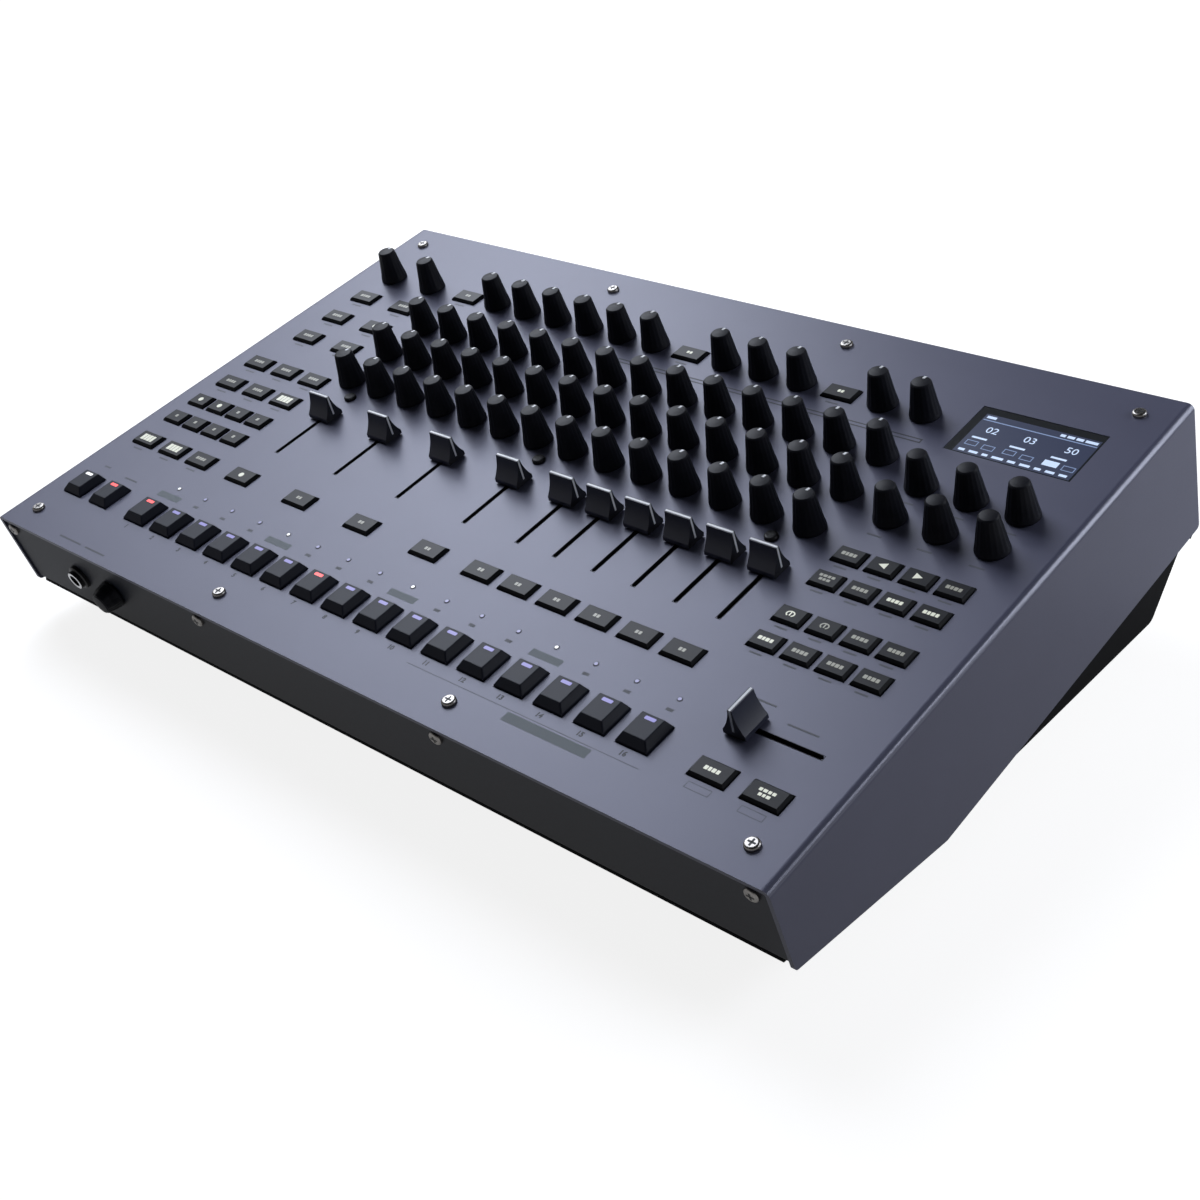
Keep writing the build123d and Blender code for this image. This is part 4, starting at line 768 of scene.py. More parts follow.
def at_knob(name, mesh, what):
    """Dresses a knob's body with a copy of a mesh, standing on its joint."""
    spot = joint_spot(name + "_turn")
    dress(name + what, moved(mesh.copy(), spot.x, spot.y), name)


top_knobs = bodies_of("top_knob")
encoders = bodies_of("encoder_knob")
cap_flutes = flutes_mesh("cap_flutes", CAP_SIDE, "knob_plastic")
encoder_flutes = flutes_mesh("encoder_flutes", ENCODER_SIDE, "encoder_plastic")
coat(cap_pointer, "pointer_white")
for name in top_knobs:
    at_knob(name, cap_flutes, "_flutes")
    at_knob(name, cap_pointer, "_pointer")
for name in encoders:
    at_knob(name, encoder_flutes, "_flutes")
print(len(top_knobs), "top knobs and", len(encoders), "encoders")

# %% Repeat flutes and pointers over the track knobs
WIDER_THAN_SHAFTS = 9.0
track_caps = [
    (low, high) for low, high in solids_of("track_knobs") if high.x - low.x > WIDER_THAN_SHAFTS
]
track_spots = [(middle(box).x, middle(box).y, 0) for box in track_caps]
for what, mesh, finish in (
    ("track_knob_flutes", cap_flutes, "knob_plastic"),
    ("track_knob_pointers", cap_pointer, "pointer_white"),
):
    scatter(what, mesh, track_spots, finish, "root")
print(len(track_spots), "track knobs")

# %% [markdown]
# ## The level knob
# The small level knob in the front wall has eight round lobes for the finger tips. A lobe is only
# a wide, deep flute, so the same helper makes them. The knob doesn't stand on the panel: its joint
# gives the frame that it is drawn in, with z along the axis, out of the wall.

# %% Lobe the level knob
LEVEL_SIDE = [(5.45, 8.6), (6.58, 5.4), (6.85, 3.4), (7.1, 2.2)]
LOBES = 8
LOBE_DEPTH = 0.35


def frame_on(place, axis):
    """A millimetre frame at a place in the world, with z along an axis and x level."""
    upright = Vector(axis).normalized()
    across = Vector((1, 0, 0))
    third = upright.cross(across)
    turn = Matrix((across, third, upright)).transposed().to_4x4()
    return Matrix.Translation(place) @ turn @ Matrix.Scale(MM, 4)


level_joint = joints["phones_level_knob_turn"]
LEVEL = frame_on(level_joint["pos_m"], level_joint["axis"])
lobes = flutes_mesh("level_lobes", LEVEL_SIDE, "knob_plastic", LOBES, LOBE_DEPTH)
dress("level_knob_lobes", lobes, "phones_level_knob", LEVEL)
print(LOBES, "lobes")

# %% [markdown]
# ## Faders
# Each fader cap is slate grey on its two long faces and black at its ends. A white line runs over
# its ridge and down both ends, so that its level can be read from the side. The black could be
# painted in the cap's finish by its place, but the caps move. So it comes as a skin: a copy of
# just those faces of the solid that look sideways, set a hair outside it.

# %% Peel a skin off a node's faces
SKIN_PROUD = 0.04
SKIN_WELD = 1e-4
END_FACING = 0.95
CAP_FOOT = 1.0
FADER_BLACK = (0.006, 0.0065, 0.009)


def skin_mesh(name, node, wanted, finish):
    """The faces of a node for which wanted(direction, middle) holds, as a skin just outside it."""
    source = frame["nodes"][node].data
    turn = FROM_PANEL.to_3x3().normalized()
    vertices, faces = [], []
    for face in source.polygons:
        direction = (turn @ face.normal).normalized()
        if wanted(direction, FROM_PANEL @ face.center):
            start = len(vertices)
            corners = [FROM_PANEL @ source.vertices[i].co for i in face.vertices]
            vertices += [tuple(corner + direction * SKIN_PROUD) for corner in corners]
            faces.append(tuple(range(start, len(vertices))))
    mesh = bpy.data.meshes.new(name)
    mesh.from_pydata(vertices, [], faces)
    work = bmesh.new()
    work.from_mesh(mesh)
    bmesh.ops.remove_doubles(work, verts=work.verts, dist=SKIN_WELD)
    work.to_mesh(mesh)
    work.free()
    coat(mesh, finish)
    return mesh


def end_skin(name, body, axis):
    """The black skin on the ends of a fader cap that lies along an axis, 0 for x or 1 for y."""
    def at_end(way, spot):
        return abs(way[axis]) > END_FACING and spot.z > CAP_FOOT

    dress(name, skin_mesh(name, body, at_end, "fader_black"), body)


make_finish("fader_black", FADER_BLACK, 0.3)
track_faders = bodies_of("track_fader")
for name in track_faders:
    end_skin(name + "_ends", name, 0)
end_skin("sweep_fader_ends", "sweep_fader", 1)
print(len(track_faders) + 1, "faders with black ends")

# %% Lay a white line over each fader cap
FADER_HEIGHT = 13.4
FADER_LENGTH = 14.2
RIDGE_LENGTH = 13.4
LINE_WIDTH = 1.0
LINE_FOOT = 3.0
LINE_DEPTH = 0.3
LINE_PROUD = 0.09


def fader_line():
    """The strip over a fader cap that lies across x."""
    taper = (FADER_LENGTH - RIDGE_LENGTH) / 2 * (FADER_HEIGHT - LINE_FOOT) / FADER_HEIGHT
    end = RIDGE_LENGTH / 2 + LINE_PROUD
    top = FADER_HEIGHT + LINE_PROUD
    foot = end + taper
    inner_foot, inner_end = foot - LINE_DEPTH, end - LINE_DEPTH
    inner_top = top - LINE_DEPTH
    line = [(-foot, LINE_FOOT), (-end, top), (end, top), (foot, LINE_FOOT)]
    inside = [
        (-inner_foot, LINE_FOOT),
        (-inner_end, inner_top),
        (inner_end, inner_top),
        (inner_foot, LINE_FOOT),
    ]
    mesh = bent_strip("fader_line", line, inside, LINE_WIDTH, along_x=True)
    coat(mesh, "pointer_white")
    return mesh


for name in (*track_faders, "sweep_fader"):
    spot = middle(solids_of(name)[0])
    turn = math.pi / 2 if name == "sweep_fader" else 0.0
    dress(name + "_line", moved(fader_line(), spot.x, spot.y, turn=turn), name)
print(len(track_faders) + 1, "fader lines")

# %% [markdown]
# ## The folded edges
# The cover is one sheet, folded down at both sides. Powder paint runs thin and smooth over a fold,
# so a fold takes a sharper light than the sheet on both sides of it. The whole cover could be
# glossier, but then the panel would mirror the knobs. So the skin helper peels off just the folds'
# faces, which look neither straight up nor straight sideways, and they get a smoother paint. That
# paint is also a shade lighter than the cover's: a painted highlight along each fold.

# %% Smooth the folds of the cover and paint a highlight on them
FOLD_TILT = (0.25, 0.95)
# how much lighter the folds' paint is than the cover's: a painted highlight along the folds
FOLD_HIGHLIGHT_SHARE = 0.1
fold_highlight_colour = shade(PANEL_BLUE_GREY, FOLD_HIGHLIGHT_SHARE)
make_finish("fold_paint", fold_highlight_colour, 0.3, metallic=0.2, gleam=1.0, change=0.02)


def on_fold(way, spot):
    """Whether a face of the cover belongs to one of its two long folds."""
    return FOLD_TILT[0] < abs(way.x) < FOLD_TILT[1] and way.z > FOLD_TILT[0]


folds = skin_mesh("cover_folds", "top_cover", on_fold, "fold_paint")
dress("cover_folds", folds, "root")
print(len(folds.polygons), "faces on the folds")

# %% [markdown]
# ## Keys
# The keys and buttons are black at the sides and a shade lighter on top, where the light from above
# falls: the lighter tops are painted light. Every step key has a small lit window near the rear of
# its top. A window could be a hole in the key with a lamp under it, but a thin plate that shines by
# itself looks the same and costs a few faces. The first and seventh glow red, the rest of the
# running pattern violet. The two transport keys show white and red.

# %% Paint light on the tops of keys and buttons
KEY_NODES = ("step_keys", "transport_keys")
BUTTON_NODES = ("track_buttons", "mode_buttons", "pattern_buttons", "menu_buttons")
TOP_FACING = 0.99
TOP_BAND = 0.2
# the tops are lighter than the sides: painted light where the light from above falls
KEY_TOP_LIT = (0.018, 0.021, 0.034)
BUTTON_TOP_LIT = (0.013, 0.014, 0.018)
make_finish("key_top", KEY_TOP_LIT, 0.32, gleam=0.1, change=0.04)
make_finish("button_top", BUTTON_TOP_LIT, 0.32, gleam=0.12, change=0.04)


def top_skin(node, finish):
    """A lighter skin on the flat tops of a node's solids: painted light from above."""
    roof = max(box[1].z for box in solids_of(node)) - TOP_BAND

    def on_top(way, spot):
        return way.z > TOP_FACING and spot.z > roof

    dress(node + "_tops", skin_mesh(node + "_tops", node, on_top, finish), node)


for node in KEY_NODES:
    top_skin(node, "key_top")
for node in BUTTON_NODES:
    top_skin(node, "button_top")
print("tops on", len(KEY_NODES) + len(BUTTON_NODES), "groups")

# %% Set the key windows
WINDOW_WIDTH = 5.2
WINDOW_DEPTH = 1.7
WINDOW_CORNER = 0.5
WINDOW_BACK = 4.6
WINDOW_SINK = 0.3
WINDOW_PROUD = 0.1
RED_STEPS = (0, 6)
# a name, the light's colour and its strength
make_glow("glow_white", (0.95, 0.97, 1.0), 1.0)
make_glow("glow_red", (1.0, 0.06, 0.06), 1.3)
make_glow("glow_violet", (0.2, 0.18, 0.55), 0.75)
window_line = rounded(WINDOW_WIDTH, WINDOW_DEPTH, WINDOW_CORNER)
window = prism("window", window_line, -WINDOW_SINK, WINDOW_PROUD)


def key_windows(name, boxes, finish, body):
    """A window on the top of each of these keys."""
    spots = [middle(box) + Vector((0, WINDOW_BACK, 0)) for box in boxes]
    scatter(name, window, spots, finish, body)


violet = [box for i, box in enumerate(step_keys) if i not in RED_STEPS]
key_windows("red_windows", [step_keys[i] for i in RED_STEPS], "glow_red", "step_keys")
key_windows("violet_windows", violet, "glow_violet", "step_keys")
key_windows("play_window", transport_keys[:1], "glow_white", "transport_keys")
key_windows("record_window", transport_keys[1:], "glow_red", "transport_keys")
print("windows on", len(step_keys) + len(transport_keys), "keys")

# %% [markdown]
# ## Step lights
# A light pipe stands behind each key, with a small lens on it. Four of them, one on each beat, are
# bright; the rest only glimmer. A real lamp in each would make the picture grainy, so the lenses
# glow and light nothing.

# %% Light the beat
STEPS_PER_BEAT = 4
LENS_RADIUS = 0.95
LENS_CORNERS = 16
LENS_SINK = 0.1
LENS_PROUD = 0.05
LENS_INSET = 0.15
make_glow("glow_dim", (0.26, 0.26, 0.5), 0.7)
lens = prism("lens", ring(LENS_RADIUS, LENS_CORNERS), -LENS_SINK, LENS_PROUD, LENS_INSET)
lights = [tuple(middle(box)) for box in solids_of("step_lights")]
beats = lights[::STEPS_PER_BEAT]
between = [spot for i, spot in enumerate(lights) if i % STEPS_PER_BEAT]
scatter("beat_lights", lens, beats, "glow_white", "root")
scatter("step_glimmers", lens, between, "glow_dim", "root")
print(len(beats), "bright lights,", len(between), "dim ones")

# %% [markdown]
# ## Symbols on the buttons
# Each button carries a symbol that shines through its top: a dot, an arrow, a small square, a
# loop, or blocks in one or two rows where a word would be. They could come from a painted picture,
# but plates stay sharp at any distance. So each symbol is drawn once, and a table says which
# button gets it. The table goes from the rear row to the front row and from left to right; a plus
# sign marks what is lit.

# %% Draw the symbols
SYMBOL_SINK = 0.1
SYMBOL_PROUD = 0.11
BLOCK_CORNER = 0.2
BLOCK_STEPS = 2
WORD_HEIGHT = 1.9
ROW_HEIGHT = 1.4
ROW_SHIFT = 1.1
LOOP_START, LOOP_END, LOOP_STEP = -60, 240, 20
LOOP_OUTER = (2.1, 1.7)
LOOP_INNER = (1.5, 1.15)
LOOP_BAR = (0.55, 2.2, 0.15, BLOCK_STEPS)
make_glow("symbol_lit", (0.82, 0.85, 0.73), 0.6)
make_glow("symbol_dim", (0.42, 0.43, 0.37), 0.4)


def plate(name, outline, x=0.0, y=0.0):
    """A thin plate on a button's top."""
    return moved(prism(name, outline, -SYMBOL_SINK, SYMBOL_PROUD), x, y)


def blocks(name, widths, height, y=0.0, gap=0.45):
    """A row of small blocks, as long as a short word."""
    start = -(sum(widths) + gap * (len(widths) - 1)) / 2
    pieces = []
    for width in widths:
        outline = rounded(width, height, BLOCK_CORNER, BLOCK_STEPS)
        pieces.append(plate(name, outline, start + width / 2, y))
        start += width + gap
    return joined(name, pieces)


def arc(radii, angles):
    """Points of an ellipse at these angles."""
    across, deep = radii
    turns = [math.radians(angle) for angle in angles]
    return [(across * math.cos(turn), deep * math.sin(turn)) for turn in turns]


def loop(name):
    """An open loop around a short upright bar."""
    angles = range(LOOP_START, LOOP_END + 1, LOOP_STEP)
    outer, inner = arc(LOOP_OUTER, angles), arc(LOOP_INNER, angles)
    pieces = []
    for i in range(len(outer) - 1):
        pieces.append(plate(name, [outer[i], outer[i + 1], inner[i + 1], inner[i]]))
    pieces.append(plate(name, rounded(*LOOP_BAR)))
    return joined(name, pieces)


two_rows = [
    blocks("upper", (1.4, 1.7, 1.3, 1.5), ROW_HEIGHT, ROW_SHIFT),
    blocks("lower", (1.4, 1.2, 1.6), ROW_HEIGHT, -ROW_SHIFT),
]
SYMBOLS = {
    "word": blocks("word", (1.6, 1.2, 1.6, 1.4), WORD_HEIGHT, gap=0.4),
    "tag": blocks("tag", (1.35, 1.35), 1.8),
    "block": blocks("block", (2.3, 1.8, 2.3, 2.0), 4.4, gap=0.35),
    "lines": joined("lines", two_rows),
    "dot": plate("dot", ring(1.5, 20)),
    "square": plate("square", rounded(1.7, 1.9, 0.3)),
    "left": plate("left", [(-2.1, 0), (1.6, -1.8), (1.6, 1.8)]),
    "right": plate("right", [(2.1, 0), (-1.6, 1.8), (-1.6, -1.8)]),
    "loop": loop("loop"),
}
print(", ".join(SYMBOLS))

# %% Set the symbols from a table
ROW_PITCH = 4
LEGENDS = {
    "mode_buttons": """
        tag tag+ tag+
        word word word dot+ word word
        word word word
        word word block+
        block+ block+ word
        word+ lines+
    """,
    "track_buttons": "dot+ tag tag tag tag tag tag tag tag tag",
    "pattern_buttons": """
        dot+ dot+ square square
        square square square square
    """,
    "menu_buttons": """
        word left+ right+ word
        lines word word+ word+
        loop+ loop word word
        word+ word word word
    """,
}


def in_reading_order(node):
    """The middles of the tops of a node's solids, row by row from the rear, left to right."""
    spots = [middle(box) for box in solids_of(node)]
    return sorted(spots, key=lambda spot: (-round(spot.y / ROW_PITCH), spot.x))


for node, text in LEGENDS.items():
    groups = {}
    for spot, word in zip(in_reading_order(node), text.split(), strict=True):
        groups.setdefault(word, []).append(tuple(spot))
    for word, spots in groups.items():
        symbol = word.rstrip("+")
        state = "lit" if word.endswith("+") else "dim"
        name = f"{node}_{symbol}_{state}"
        scatter(name, SYMBOLS[symbol], spots, "symbol_" + state, node)
    print(node, len(text.split()), "symbols of", len(groups), "kinds")

# %% [markdown]
# ## Print on the panel
# Panels like this one are screen printed in a few inks. The print could be a picture laid over
# the whole cover, but a picture blurs close up. So every mark is a plate three hundredths of a
# millimetre high: step numbers in front of the keys, a box behind each beat's key and a dash
# behind the others, a rule with two ends between the rear knobs and the track knobs, a bar and
# a thin line in front of the last keys, a frame in front of each of the two corner buttons, and
# short dashes where a panel has its labels. They say nothing but the numbers.

# %% Print the step numbers
PRINT_SINK = 0.05
PRINT_PROUD = 0.03
FIGURE_STEPS = 3
NUMBER_ROW = 26.2
NUMBER_SHIFT = -1.1
NUMBER_SIZE = 3.4
NUMBER_BOLD = 0.15
make_finish("print_dark", (0.032, 0.034, 0.045), 0.6, change=0.03)
make_finish("print_grey", (0.07, 0.074, 0.095), 0.6, change=0.03)
make_finish("print_green", (0.1, 0.125, 0.142), 0.6, change=0.03)


def number_mesh(text, size, depth, bold=0.0):
    """Plain figures as a thin mesh, centred on the origin."""
    curve = bpy.data.curves.new("figures", "FONT")
    curve.body = text
    curve.size = size
    curve.extrude = depth
    curve.offset = bold
    curve.resolution_u = FIGURE_STEPS
    curve.align_x = "CENTER"
    curve.align_y = "CENTER"
    holder = link_object("figures", curve)
    mesh = plain_mesh(holder)
    bpy.data.objects.remove(holder)
    bpy.data.curves.remove(curve)
    return mesh


def printed(name, meshes, finish):
    """Joins flat meshes into one piece of the panel, in one finish."""
    whole = joined(name, meshes)
    coat(whole, finish)
    dress(name, whole, "root")


numbers = []
for step, box in enumerate(step_keys, 1):
    figures = number_mesh(str(step), NUMBER_SIZE, PRINT_PROUD, NUMBER_BOLD)
    numbers.append(moved(figures, middle(box).x + NUMBER_SHIFT, NUMBER_ROW))
printed("step_numbers", numbers, "print_dark")
print("numbers 1 to", len(numbers))


# %% Draw rectangles and frames
def strip(x0, x1, y0, y1):
    """A printed rectangle between two corners on the panel."""
    outline = [(x0, y0), (x1, y0), (x1, y1), (x0, y1)]
    return prism("strip", outline, -PRINT_SINK, PRINT_PROUD)


def near(spot, left, right, front, rear):
    """A printed rectangle whose sides lie at these distances from a spot."""
    return strip(spot[0] + left, spot[0] + right, spot[1] + front, spot[1] + rear)


def frame_strips(x0, x1, y0, y1, line):
    """The four sides of a printed frame."""
    return [
        strip(x0, x1, y0, y0 + line),
        strip(x0, x1, y1 - line, y1),
        strip(x0, x0 + line, y0 + line, y1 - line),
        strip(x1 - line, x1, y0 + line, y1 - line),
    ]


print("helpers for print: strip, near, frame_strips")

# %% Print the rule, the bar, the boxes and the marks
RULE_LEFT, RULE_RIGHT, RULE_FRONT = 216.0, 394.0, 236.0
RULE_WIDTH = 0.8
RULE_GAP = 2.3
FILL_BAR = (344.0, 388.0, 17.0, 21.8)
BEAT_BOX = (-8.5, 8.5, -8.5, -4.7)
STEP_MARK = (-1.7, 1.7, -7.1, -5.5)
# the middle and the half length of each dash among the left buttons and at the front edge
LONE_MARKS = ((21.9, 54.3, 2.5), (45.2, 52.5, 5), (58.4, 5.6, 9), (79.4, 5.6, 8))
MARK_HALF = 0.5
CORNER_FRAME = (-5.5, 5.5, -10.5, -7.2)
FRAME_LINE = 0.25
rule_rear = RULE_FRONT + RULE_GAP + RULE_WIDTH
rules = [
    strip(RULE_LEFT, RULE_RIGHT, RULE_FRONT, RULE_FRONT + RULE_WIDTH),
    strip(RULE_LEFT, RULE_RIGHT, RULE_FRONT + RULE_GAP, rule_rear),
    strip(RULE_LEFT, RULE_LEFT + RULE_WIDTH, RULE_FRONT, rule_rear),
    strip(RULE_RIGHT - RULE_WIDTH, RULE_RIGHT, RULE_FRONT, rule_rear),
]
printed("knob_rule", rules, "print_dark")
printed("fill_bar", [strip(*FILL_BAR)], "print_green")
printed("beat_boxes", [near(spot, *BEAT_BOX) for spot in beats], "print_green")
marks = [near(spot, *STEP_MARK) for spot in between]
marks += [near((x, y), -reach, reach, -MARK_HALF, MARK_HALF) for x, y, reach in LONE_MARKS]
printed("step_marks", marks, "print_grey")
corner_frames = []
for spot in in_reading_order("mode_buttons")[-2:]:
    left, right, front, rear = CORNER_FRAME
    sides = (spot.x + left, spot.x + right, spot.y + front, spot.y + rear)
    corner_frames += frame_strips(*sides, FRAME_LINE)
printed("corner_frames", corner_frames, "print_grey")
print(len(beats), "boxes and", len(marks), "marks")

# %% Print a dash where each label would be
DASH_WIDTH = 0.9
THIN_LINE = (284.0, 410.0, 22.7, 22.95)
# the middle and the half length of the two dashes by the crosswise fader
FADER_DASHES = ((430.0, 73.0, 6), (452.0, 67.5, 7))
# a dash's length, and how far in front of its button or knob it lies
MENU_DASH = (6.0, 7.6)
MODE_DASH = (7.0, 8.2)
ENCODER_DASH = (7.0, 12.4)


def dashes(spots, length, drop):
    """A short printed dash in front of each of these spots."""
    return [near(spot, -length / 2, length / 2, -drop, DASH_WIDTH - drop) for spot in spots]


labels = dashes(in_reading_order("menu_buttons"), *MENU_DASH)
labels += dashes(in_reading_order("mode_buttons")[:-2], *MODE_DASH)
labels += dashes([joint_spot(name + "_turn") for name in encoders], *ENCODER_DASH)
for x, y, reach in FADER_DASHES:
    labels.append(near((x, y), -reach, reach, -DASH_WIDTH / 2, DASH_WIDTH / 2))
labels.append(strip(*THIN_LINE))
printed("label_dashes", labels, "print_grey")
print(len(labels), "dashes")

# %% [markdown]
# ## The fader slots
# A fader slot reads as a black line, because the punched edge of the sheet is dark and nothing
# under it is lit. Here the sheet is as pale inside the slot as on top. The cover's finish could
# turn dark by place, but the same skin as on the fader caps is simpler: black on the slot's walls,
# and a narrow black frame around its mouth. That black is the dark edge, and painted shade for the
# unlit depth of the slot.

# %% Blacken the fader slots
SLOT_HALF = 1.0
SLOT_EDGE = 0.3
SLOT_OVERRUN = 4.5
SLOT_LEEWAY = 0.1
WALL_FACING = 0.5
FADER_TRAVEL = 30.0
# the slots' black is the dark edge of the sheet and painted shade for the unlit slot
make_finish("slot_black", (0.004, 0.004, 0.005), 0.6, gleam=0.1)
slots = []
for name in track_faders:
    rest = middle(solids_of(name)[0])
    front = rest.y - FADER_TRAVEL - SLOT_OVERRUN
    slots.append((rest.x - SLOT_HALF, rest.x + SLOT_HALF, front, rest.y + SLOT_OVERRUN))
rest = middle(solids_of("sweep_fader")[0])
end = rest.x + FADER_TRAVEL + SLOT_OVERRUN
slots.append((rest.x - SLOT_OVERRUN, end, rest.y - SLOT_HALF, rest.y + SLOT_HALF))


def grown(slot, by):
    """A slot's (left, right, front, rear), moved outwards."""
    left, right, front, rear = slot
    return left - by, right + by, front - by, rear + by


def in_slot(way, spot):
    """Whether a face of the cover is a wall of a fader slot."""
    if abs(way.z) > WALL_FACING:
        return False
    reaches = [grown(slot, SLOT_LEEWAY) for slot in slots]
    return any(x0 < spot.x < x1 and y0 < spot.y < y1 for x0, x1, y0, y1 in reaches)


slot_sides = skin_mesh("slot_walls", "top_cover", in_slot, "slot_black")
dress("slot_walls", slot_sides, "root")
edges = []
for slot in slots:
    edges += frame_strips(*grown(slot, SLOT_EDGE), SLOT_EDGE)
printed("slot_edges", edges, "slot_black")
print(len(slots), "slots with", len(slot_sides.polygons), "black faces")

# %% [markdown]
# ## Display
# On the real object the pane is dark smoked glass, and the picture shines through it from below.
# Here the glass could be made clear, with the picture under it, but a dark pane with the picture a
# hair above it looks the same, and its colours come out as they are written. The picture is a navy
# field with a status line, three large values, small boxes under them and a row of short blocks at
# the foot. The values are plain numbers.

# %% Find the pane and lay the navy field
GLASS_DARK = (0.028, 0.03, 0.032)
FIELD = (0.07, 0.985, 0.02, 0.87)
FIELD_PROUD = 0.03
BAR_PROUD = 0.06
BAR_SINK = 0.1
make_finish("display_glass", GLASS_DARK, 0.16, change=0.02, grain=600.0, bump=0.01)
make_glow("screen_navy", (0.02, 0.028, 0.066), 0.9)
make_glow("screen_white", (0.62, 0.76, 1.0), 0.85)
make_glow("screen_blue", (0.26, 0.36, 0.6), 0.7)
coat(frame["nodes"]["display_window"].data, "display_glass")
pane_low, pane_high = solids_of("display_window")[0]
pane_width = pane_high.x - pane_low.x
pane_depth = pane_high.y - pane_low.y


def on_pane(across, up):
    """A point of the panel from shares of the pane's width and depth."""
    return pane_low.x + pane_width * across, pane_low.y + pane_depth * up


def on_screen(x0, x1, y0, y1, proud=BAR_PROUD):
    """A plate on the picture between shares of the pane's width and depth."""
    outline = [on_pane(x0, y0), on_pane(x1, y0), on_pane(x1, y1), on_pane(x0, y1)]
    return prism("bar", outline, pane_high.z - BAR_SINK, pane_high.z + proud)


printed("screen_field", [on_screen(*FIELD, FIELD_PROUD)], "screen_navy")
print(f"pane {pane_width:.1f} x {pane_depth:.1f} mm")

# %% Lay out what the display shows
# the values, and everything else as (left, right, front, rear) in shares of the pane
VALUES = {"02": 0.215, "03": 0.52, "50": 0.845}
VALUE_UP = 0.555
VALUE_SIZE = 6.0
VALUE_DEPTH = 0.03
VALUE_LIFT = 0.05
UNDERLINE = (-0.1, 0.02, 0.345, 0.38)
STATUS = ((0.09, 0.165), (0.68, 0.72), (0.735, 0.79), (0.805, 0.86), (0.875, 0.97))
STATUS_BAND = (0.785, 0.835)
RULE = (0.08, 0.98, 0.735, 0.752)
RIGHT_BOX = (0.03, 0.125, 0.17, 0.27)
LEFT_BOX = (-0.11, -0.015, 0.19, 0.29)
FULL_BOX = (-0.12, -0.005, 0.18, 0.29)
BOX_LINE = (0.006, 0.011)
FOOT_BLOCKS = (0.05, 0.07, 0.045, 0.09, 0.06, 0.08, 0.05, 0.07, 0.06)
FOOT_START, FOOT_GAP = 0.1, 0.035
FOOT_BAND = (0.055, 0.1)


def beside(place, box):
    """A box's sides, with its left and right counted from a value's place."""
    return place + box[0], place + box[1], box[2], box[3]


def outline_bars(x0, x1, y0, y1):
    """The sides of a small box on the picture."""
    thin, flat = BOX_LINE
    return [
        on_screen(x0, x1, y0, y0 + flat),
        on_screen(x0, x1, y1 - flat, y1),
        on_screen(x0, x0 + thin, y0, y1),
        on_screen(x1 - thin, x1, y0, y1),
    ]


print("values", ", ".join(VALUES))

# %% Draw what the display shows
white = [on_screen(x0, x1, *STATUS_BAND) for x0, x1 in STATUS]
blue = [on_screen(*RULE)]
last_place = max(VALUES.values())
for text, place in VALUES.items():
    figures = number_mesh(text, VALUE_SIZE, VALUE_DEPTH)
    white.append(moved(figures, *on_pane(place, VALUE_UP), pane_high.z + VALUE_LIFT))
    white.append(on_screen(*beside(place, UNDERLINE)))
    blue += outline_bars(*beside(place, RIGHT_BOX))
    if place < last_place:
        blue += outline_bars(*beside(place, LEFT_BOX))
white.append(on_screen(*beside(last_place, FULL_BOX)))
foot = FOOT_START
for width in FOOT_BLOCKS:
    white.append(on_screen(foot, foot + width, *FOOT_BAND))
    foot += width + FOOT_GAP
printed("screen_values", white, "screen_white")
printed("screen_lines", blue, "screen_blue")
print(len(white), "bright marks and", len(blue), "blue ones")

# %% [markdown]
# ## Screws
# The cover's pan heads are bright zinc, and each has a cross recess that lies in shade. A recess
# could be cut out of the head; a dark cross that stands a hair over it is painted shade, and reads
# the same at this size. The heads are found in three frames: on the panel, on the front wall and
# on the rear wall. A screw that stands square in a frame has a box as deep as it is wide. The three
# screws between the faders and the knobs are blackened, so that they don't draw the eye.

# %% Lay a cross of painted shade on every head
CROSS_LENGTH = 3.5
CROSS_WIDTH = 0.85
CROSS_SINK = 0.4
CROSS_PROUD = 0.06
SQUARE_WITHIN = 0.1
# the cross is painted shade: a dark plate where the recess would lie in shade
make_finish("recess_dark", (0.012, 0.012, 0.013), 0.5)
arms = ((CROSS_LENGTH, CROSS_WIDTH), (CROSS_WIDTH, CROSS_LENGTH))
cross = joined("cross", [
    prism("arm", rounded(*arm, BLOCK_CORNER, BLOCK_STEPS), -CROSS_SINK, CROSS_PROUD)
    for arm in arms
])
mounts = frame["record"]["mounts"]
rear_mount = next(mount for mount in mounts if mount["name"] == "output_socket_01")
REAR_WALL = frame_on(rear_mount["pos_m"], rear_mount["axis"])


def heads_in(into):
    """The middles of the heads of the screws that stand square in a frame."""
    return [
        middle((low, high))
        for low, high in solids_of("case_screws", into)
        if abs((high.x - low.x) - (high.y - low.y)) < SQUARE_WITHIN
    ]


for name, into in {"panel": PANEL, "front": LEVEL, "rear": REAR_WALL}.items():
    spots = heads_in(into)
    scatter(name + "_recesses", cross, spots, "recess_dark", "root", into)
    print(name, len(spots), "screws")

# %% Blacken the middle screws
MIDDLE_ROWS = (100.0, 200.0)
make_finish("screw_black", (0.012, 0.012, 0.014), 0.35, metallic=0.5, change=0.05)


def in_middle(way, spot):
    """Whether a screw's face belongs to a head in the middle of the panel."""
    return spot.z > 0 and MIDDLE_ROWS[0] < spot.y < MIDDLE_ROWS[1]


blackened = skin_mesh("middle_heads", "case_screws", in_middle, "screw_black")
dress("middle_heads", blackened, "root")
print(len(blackened.polygons), "blackened faces")

# %% [markdown]
# ## Sockets
# Each round socket has a bright ring around its mouth and a sprung contact deep inside. The
# five-pole sockets have a metal sleeve in their groove, the mains inlet three bare blades, the USB
# socket a black tongue, and the rocker the two plain signs for on and off. They could be drawn
# with every bend of the real metal, but most sit deep in a hole. So each is the simplest shape
# that has the right outline: rings and sleeves are turned, contacts, blades and tongue are plates.

# %% Ring the round sockets and give them their contacts
MOUTH_RADIUS = 3.25
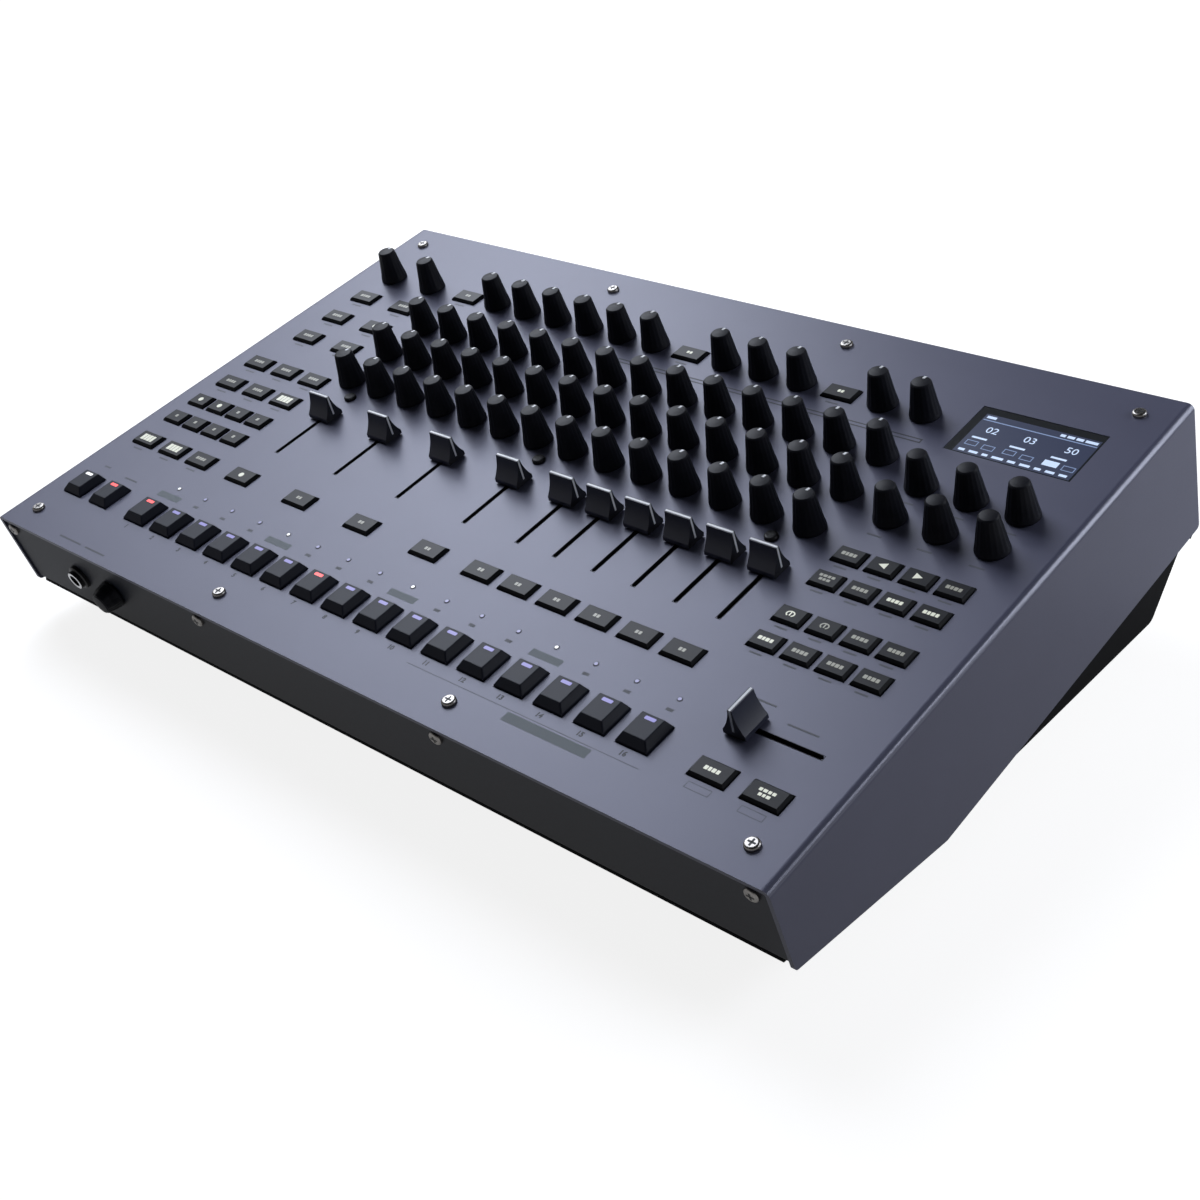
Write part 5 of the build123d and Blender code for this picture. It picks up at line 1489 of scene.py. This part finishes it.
# (distance from the mouth's edge, height) around the section of the ring
RING_SECTION = (
    (-0.05, -1.2), (-0.05, -0.1), (0.15, 0.05), (1.5, 0.05), (1.6, -0.2), (1.2, -0.3), (0.1, -1.2)
)
TURNED_STEPS = 40
CONTACT_OUTLINE = (1.4, 0.5, 0.2, 2)
CONTACT_REACH = (-16.0, -6.0)
CONTACT_INSET = 0.35
make_finish("bright_ring", (0.75, 0.75, 0.76), 0.2, metallic=1.0, patch=300.0)
make_finish("spring_brass", (0.62, 0.45, 0.2), 0.3, metallic=1.0, patch=300.0)
ring_line = [(MOUTH_RADIUS + out, height) for out, height in RING_SECTION]
mouth_ring = lathe("mouth_ring", ring_line, TURNED_STEPS)
contact = prism("contact", rounded(*CONTACT_OUTLINE), *CONTACT_REACH)
moved(contact, 0, MOUTH_RADIUS - CONTACT_INSET)
sockets = [mount for mount in mounts if mount["kind"] == "bore"]
for name in ("phones", "output"):
    mates = [mount for mount in sockets if mount["name"].startswith(name)]
    into = frame_on(mates[0]["pos_m"], mates[0]["axis"])
    mouth = Vector((0, 0, mates[0]["dims"]["length_mm"] / 2))
    spots = [into.inverted() @ Vector(mount["pos_m"]) + mouth for mount in mates]
    scatter(name + "_rings", mouth_ring, spots, "bright_ring", "root", into)
    scatter(name + "_contacts", contact, spots, "spring_brass", "root", into)
    print(name, len(spots), "rings and contacts")


# %% Sleeve the five-pole sockets
def on_rear(name, shape, spots, finish):
    """Copies of a mesh on the rear wall."""
    scatter(name, shape, spots, finish, "root", REAR_WALL)


SLEEVE_INSIDE, SLEEVE_OUTSIDE = 6.35, 6.85
SLEEVE_END, SLEEVE_MOUTH = -7.5, -0.3
sleeve_line = [
    (SLEEVE_INSIDE, SLEEVE_END),
    (SLEEVE_OUTSIDE, SLEEVE_END),
    (SLEEVE_OUTSIDE, SLEEVE_MOUTH),
    (SLEEVE_INSIDE, SLEEVE_MOUTH),
]
sleeve = lathe("sleeve", sleeve_line, TURNED_STEPS)
din_spots = [middle(box) for box in solids_of("midi_sockets", REAR_WALL)]
on_rear("din_sleeves", sleeve, din_spots, "bright_ring")
print(len(din_spots), "sleeves")

# %% Bare the mains blades and blacken the USB tongue
INLET_SHIFT = -11.0
BLADE_SPOTS = ((-7.0, 2.0), (7.0, 2.0), (0.0, -2.0))
BLADE_OUTLINE = (2.1, 4.1, 0.3, 2)
BLADE_REACH = (-15.95, -2.44)
TONGUE_OUTLINE = (5.7, 3.3, 0.2, 2)
TONGUE_REACH = (-8.95, -0.95)
blade = prism("blade", rounded(*BLADE_OUTLINE), *BLADE_REACH)
tongue = prism("tongue", rounded(*TONGUE_OUTLINE), *TONGUE_REACH)
power = middle(solids_of("mains_inlet", REAR_WALL)[0])
usb = middle(solids_of("usb_socket", REAR_WALL)[0])
blade_spots = [power + Vector((INLET_SHIFT + x, y, 0)) for x, y in BLADE_SPOTS]
on_rear("mains_blades", blade, blade_spots, "bright_ring")
on_rear("usb_tongue", tongue, [usb], "socket_plastic")
print(len(blade_spots), "blades and a tongue")

# %% Paint the rocker's signs
ROCKER_SHIFT = 17.0
ROCKER_SINK = 4.0
ROCKER_FACE = 5.0
ROCKER_SPLIT = math.radians(22.0)
SIGN_OUT = 4.2
SIGN_SINK = 0.2
SIGN_PROUD = 0.04
BAR_OUTLINE = (0.7, 3.4, 0.2, 2)
CIRCLE_INSIDE, CIRCLE_OUTSIDE = 1.25, 1.85
CIRCLE_STEPS = 32
circle_line = [
    (CIRCLE_INSIDE, -SIGN_SINK),
    (CIRCLE_OUTSIDE, -SIGN_SINK),
    (CIRCLE_OUTSIDE, SIGN_PROUD),
    (CIRCLE_INSIDE, SIGN_PROUD),
]
bar_sign = prism("bar_sign", rounded(*BAR_OUTLINE), -SIGN_SINK, SIGN_PROUD)
circle_sign = lathe("ring_sign", circle_line, CIRCLE_STEPS)
pivot = REAR_WALL @ Matrix.Translation(power + Vector((ROCKER_SHIFT, 0, -ROCKER_SINK)))
upper_face = pivot @ Matrix.Rotation(ROCKER_SPLIT, 4, "X")
for name, sign, out, into in (
    ("on", bar_sign, -SIGN_OUT, upper_face),
    ("off", circle_sign, SIGN_OUT, pivot),
):
    coat(sign, "pointer_white")
    moved(sign, 0, out, ROCKER_FACE)
    dress(f"rocker_{name}_sign", sign, "power_rocker", into)
print("signs on the rocker")
